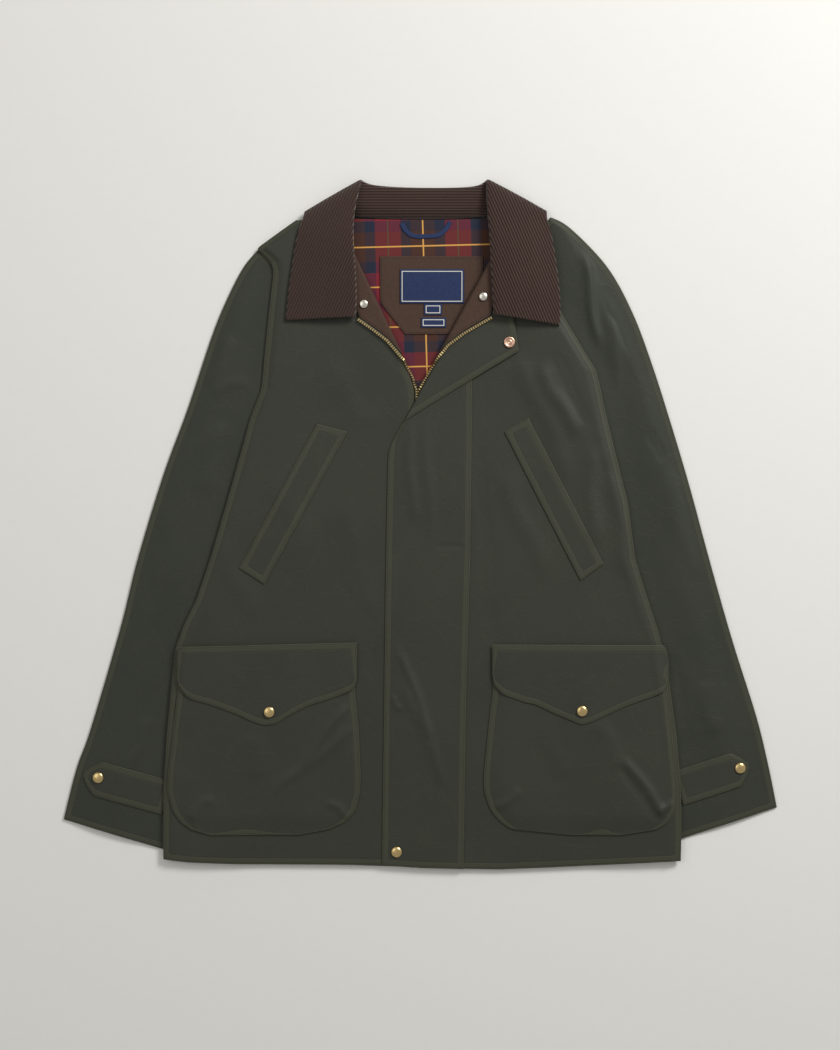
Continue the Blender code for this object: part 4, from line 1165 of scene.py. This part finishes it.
def pocket_rise(table: list, x: np.ndarray, y: np.ndarray, fuller: float = 0.0) -> np.ndarray:
    """A pocket bag's own fullness with its creases."""
    inside = np.minimum(np.minimum(x - along(table, y, 1), along(table, y, 2) - x), y + 371.0)
    creased = relief(POCKET_CREASES, x, y) * smooth((inside + 4.0) / 16.0)
    return 1.8 * smooth((inside + fuller) / 26.0) + creased


def pocket_top(table: list, x: np.ndarray, y: np.ndarray) -> np.ndarray:
    """Height of the upper face of a pocket bag, or of the front where there is none."""
    return front_top(x, y) + 2.5 * GAP + CLOTH + pocket_rise(table, x, y, 12.0)


@dataclass
class Pockets:
    """Hip pockets, their flaps and the hand-warmer welts."""

    bag_heights: tuple = (-156.0, -193.0, -244.0, -300.0, -320.0, -341.0, -355.0, -364.0, -371.0)
    bag_step: float = 2.2
    flap_step: float = 1.8
    welt_step: float = 1.8

    def build(self, wardrobe: Wardrobe) -> None:
        """Builds every pocket piece from the front's own surface."""
        for side, bag, flap in (("right", POCKET_RIGHT, FLAP_RIGHT), ("left", POCKET_LEFT, FLAP_LEFT)):
            ys = np.array(self.bag_heights)
            rows = spread(edge_points(bag, ys), edge_points(bag, ys, 2), (0.0, 0.5, 1.0))
            place = plain(lambda x, y, b=bag: front_top(x, y) + 2.0 * GAP + pocket_rise(b, x, y))
            Sheet("pocket_" + side, Finish.WAXED, rows, place, 0.0, rests="front_" + side,
                  step=self.bag_step).build(wardrobe)
            table = np.array(flap)
            place = plain(lambda x, y, b=bag: pocket_top(b, x, np.minimum(y, -156.0)) + GAP)
            rows = spread(table[:, [0, 1]], table[:, [0, 2]], (0.0, 0.5, 1.0))
            Sheet("pocket_flap_" + side, Finish.WAXED, rows, place, 0.0, rests="pocket_" + side,
                  step=self.flap_step).build(wardrobe)
        for side, corners in (("right", WELT_RIGHT), ("left", WELT_LEFT)):
            a, b, c, d = (np.array(p) for p in corners)
            rows = spread(np.array([a, d]), np.array([b, c]), (0.0, 1.0))
            Sheet("welt_" + side, Finish.WAXED, rows, plain(front_top), 2.0 * GAP, rests="front_" + side,
                  step=self.welt_step).build(wardrobe)


@dataclass
class Collar:
    """Corduroy top collar and waxed under collar, swept round the neck."""

    sections: int = 240
    eases: int = 60

    def build(self, wardrobe: Wardrobe) -> None:
        """Builds both layers."""
        for name, inner, outer, finish in (("collar_top", GAP / 2, GAP / 2 + CORD, Finish.CORD),
                                           ("collar_under", -GAP / 2 - UNDER, -GAP / 2, Finish.WAXED)):
            top, bottom = self.layer(outer), self.layer(inner)
            down, across = top.shape[:2]
            made = shell(name, top.reshape(-1, 3), bottom.reshape(-1, 3), down, across)
            made.data.materials.append(wardrobe.made[finish])
            row = np.arange(down)[:, None]
            edge = np.minimum(row, row[::-1]) * 3.0 + np.zeros(across)
            store(made, "edge", np.tile(np.minimum(edge, (across - 1 - np.arange(across)) * 2.4).ravel(), 2))
            store(made, "rib", np.tile(self.ribs(top).ravel(), 2))
            dress(made, name, finish)

    def layer(self, offset: float) -> np.ndarray:
        """One face of the collar: the solid's own sections, made finer and averaged along the neck.

        Args:
            offset: distance outside the line where the two cloths meet.

        Returns:
            The face's points, section by section.
        """
        rough = collar_layer(offset)
        count = len(rough)
        long_way = np.linspace(0.0, count - 1.0, self.sections)
        flat = rough.reshape(count, -1)
        rows = np.column_stack([np.interp(long_way, np.arange(count), column) for column in flat.T])
        for _ in range(self.eases):
            rows[1:-1] = (rows[:-2] + 2.0 * rows[1:-1] + rows[2:]) / 4.0
        rows = rows.reshape(self.sections, -1, 3)
        cross = np.array([0.0, 0.4, 0.8, 1.0, 1.5, 2.0, 2.5, 3.0, 3.5, 4.0, 4.5, 5.0, 5.3, 5.7])
        cross = np.concatenate([cross, np.linspace(6.0, rough.shape[1] - 1.0, 26)])
        whole = np.arange(rough.shape[1])
        return np.stack([np.column_stack([np.interp(cross, whole, row[:, k]) for k in range(3)])
                         for row in rows])

    @staticmethod
    def ribs(points: np.ndarray) -> np.ndarray:
        """Distance across the wales: level at the back, slanting down and out on the leaves."""
        x, y, z = points[..., 0], points[..., 1], points[..., 2]
        leaf = (z > 9.0) & (np.abs(x - 4.0) > 76.0)
        slant = np.where(x < 4.0, 0.91 * x - 0.42 * y, 0.92 * x + 0.40 * y)
        return np.where(leaf, slant, y)


CAP = [(0.0, 2.6), (1.2, 2.55), (3.0, 2.4), (4.4, 2.1), (5.4, 1.6), (6.2, 1.0), (6.5, 0.5), (6.2, 0.0)]
SMALL_CAP = [(0.0, 1.8), (1.2, 1.75), (3.2, 1.5), (4.6, 1.0), (5.2, 0.4), (5.0, 0.0)]
SOCKET = [(0.0, 0.7), (1.3, 0.7), (1.4, 1.4), (2.4, 1.5), (2.5, 0.8), (4.0, 0.8), (4.4, 1.5), (6.2, 1.3),
          (6.8, 0.5), (6.6, 0.0)]


@dataclass
class Studs:
    """Press studs, turned round their own axes where the solids have them."""

    sides: int = 48

    def build(self, wardrobe: Wardrobe) -> None:
        """Builds each stud at the middle and foot of its solid."""
        kinds = (("snap_pocket_right", CAP, Finish.BRASS), ("snap_pocket_left", CAP, Finish.BRASS),
                 ("snap_cuff_right", CAP, Finish.BRASS), ("snap_cuff_left", CAP, Finish.BRASS),
                 ("snap_storm_flap", CAP, Finish.BRASS), ("socket_storm_flap", SOCKET, Finish.COPPER),
                 ("snap_facing_right", SMALL_CAP, Finish.SILVER),
                 ("snap_facing_left", SMALL_CAP, Finish.SILVER))
        sides = self.sides
        turn = np.linspace(0.0, 2.0 * math.pi, sides, endpoint=False)
        for name, profile, finish in kinds:
            low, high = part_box(name)
            x = (low[0] + high[0]) / 2.0 / MM
            y = (low[1] + high[1]) / 2.0 / MM
            z = low[2] / MM + self.seat(name)
            radius, height = np.array(profile).T
            radius = np.maximum(radius, 0.02)
            ring = np.stack([x + radius[:, None] * np.cos(turn), y + radius[:, None] * np.sin(turn),
                             z + height[:, None] + 0.0 * turn], axis=2)
            count = len(profile)
            verts = (ring.reshape(-1, 3) * MM).tolist()
            faces = [[k * sides + n, (k + 1) * sides + n, (k + 1) * sides + (n + 1) % sides,
                      k * sides + (n + 1) % sides] for k in range(count - 1) for n in range(sides)]
            faces += [list(range(sides)), list(range((count - 1) * sides, count * sides))[::-1]]
            mesh = bpy.data.meshes.new(name)
            mesh.from_pydata(verts, [], faces)
            mesh.polygons.foreach_set("use_smooth", [True] * len(mesh.polygons))
            mesh.materials.append(wardrobe.made[finish])
            made = bpy.data.objects.new(name, mesh)
            bpy.context.scene.collection.objects.link(made)
            dress(made, name, finish)

    @staticmethod
    def seat(name: str) -> float:
        """Extra height where creases lift the cloth under a stud."""
        return 0.5 if "pocket" in name or "cuff" in name else 0.2


@dataclass
class Stage:
    """Pale floor, soft light and the camera straight above."""

    def build(self) -> None:
        """Builds the stage, the lights and the camera."""
        bpy.ops.mesh.primitive_plane_add(size=8.0, location=(0.0, 0.0, -0.0004))
        floor = bpy.context.object
        floor.name = "floor"
        graph = Graph("paper")
        grain = graph.noise(90.0, 3.0)
        paper = graph.mix(grain, (0.735, 0.725, 0.69), (0.755, 0.745, 0.71))
        graph.put(graph.shader.inputs["Base Color"], paper)
        graph.shader.inputs["Roughness"].default_value = 0.9
        graph.shader.inputs["Specular IOR Level"].default_value = 0.1
        floor.data.materials.append(graph.made)
        world = bpy.data.worlds.new("studio")
        world.use_nodes = True
        world.node_tree.nodes["Background"].inputs[0].default_value = (1.0, 0.99, 0.97, 1.0)
        world.node_tree.nodes["Background"].inputs[1].default_value = 0.40
        bpy.context.scene.world = world
        for name, place, size, power in (("key", (1.5, 1.7, 1.7), 0.9, 62.0),
                                         ("fill", (-1.6, 0.6, 2.4), 2.0, 14.0)):
            lamp = bpy.data.lights.new(name, "AREA")
            lamp.energy = power
            lamp.size = size
            made = bpy.data.objects.new(name, lamp)
            made.location = place
            aim = Vector((0.0, 0.0, 0.0)) - made.location
            made.rotation_euler = aim.to_track_quat("-Z", "Y").to_euler()
            bpy.context.scene.collection.objects.link(made)
        lens = bpy.data.cameras.new("camera")
        lens.sensor_width = 36.0
        lens.lens = 36.0 * 2.5 / 1.26
        camera = bpy.data.objects.new("camera", lens)
        camera.location = (0.0, 0.0, 2.5)
        bpy.context.scene.collection.objects.link(camera)
        bpy.context.scene.camera = camera
        bpy.context.scene.view_settings.view_transform = "Standard"


def main() -> None:
    """Builds the jacket and its stage."""
    logging.basicConfig(level=logging.INFO)
    wardrobe = Wardrobe()
    wardrobe.build()
    for part in (Body(), Lapels(), Neck(), Sleeves(), Pockets(), Collar(), Studs()):
        part.build(wardrobe)
        LOG.info("built %s", type(part).__name__)
    Stage().build()


if __name__ == "__main__":
    main()
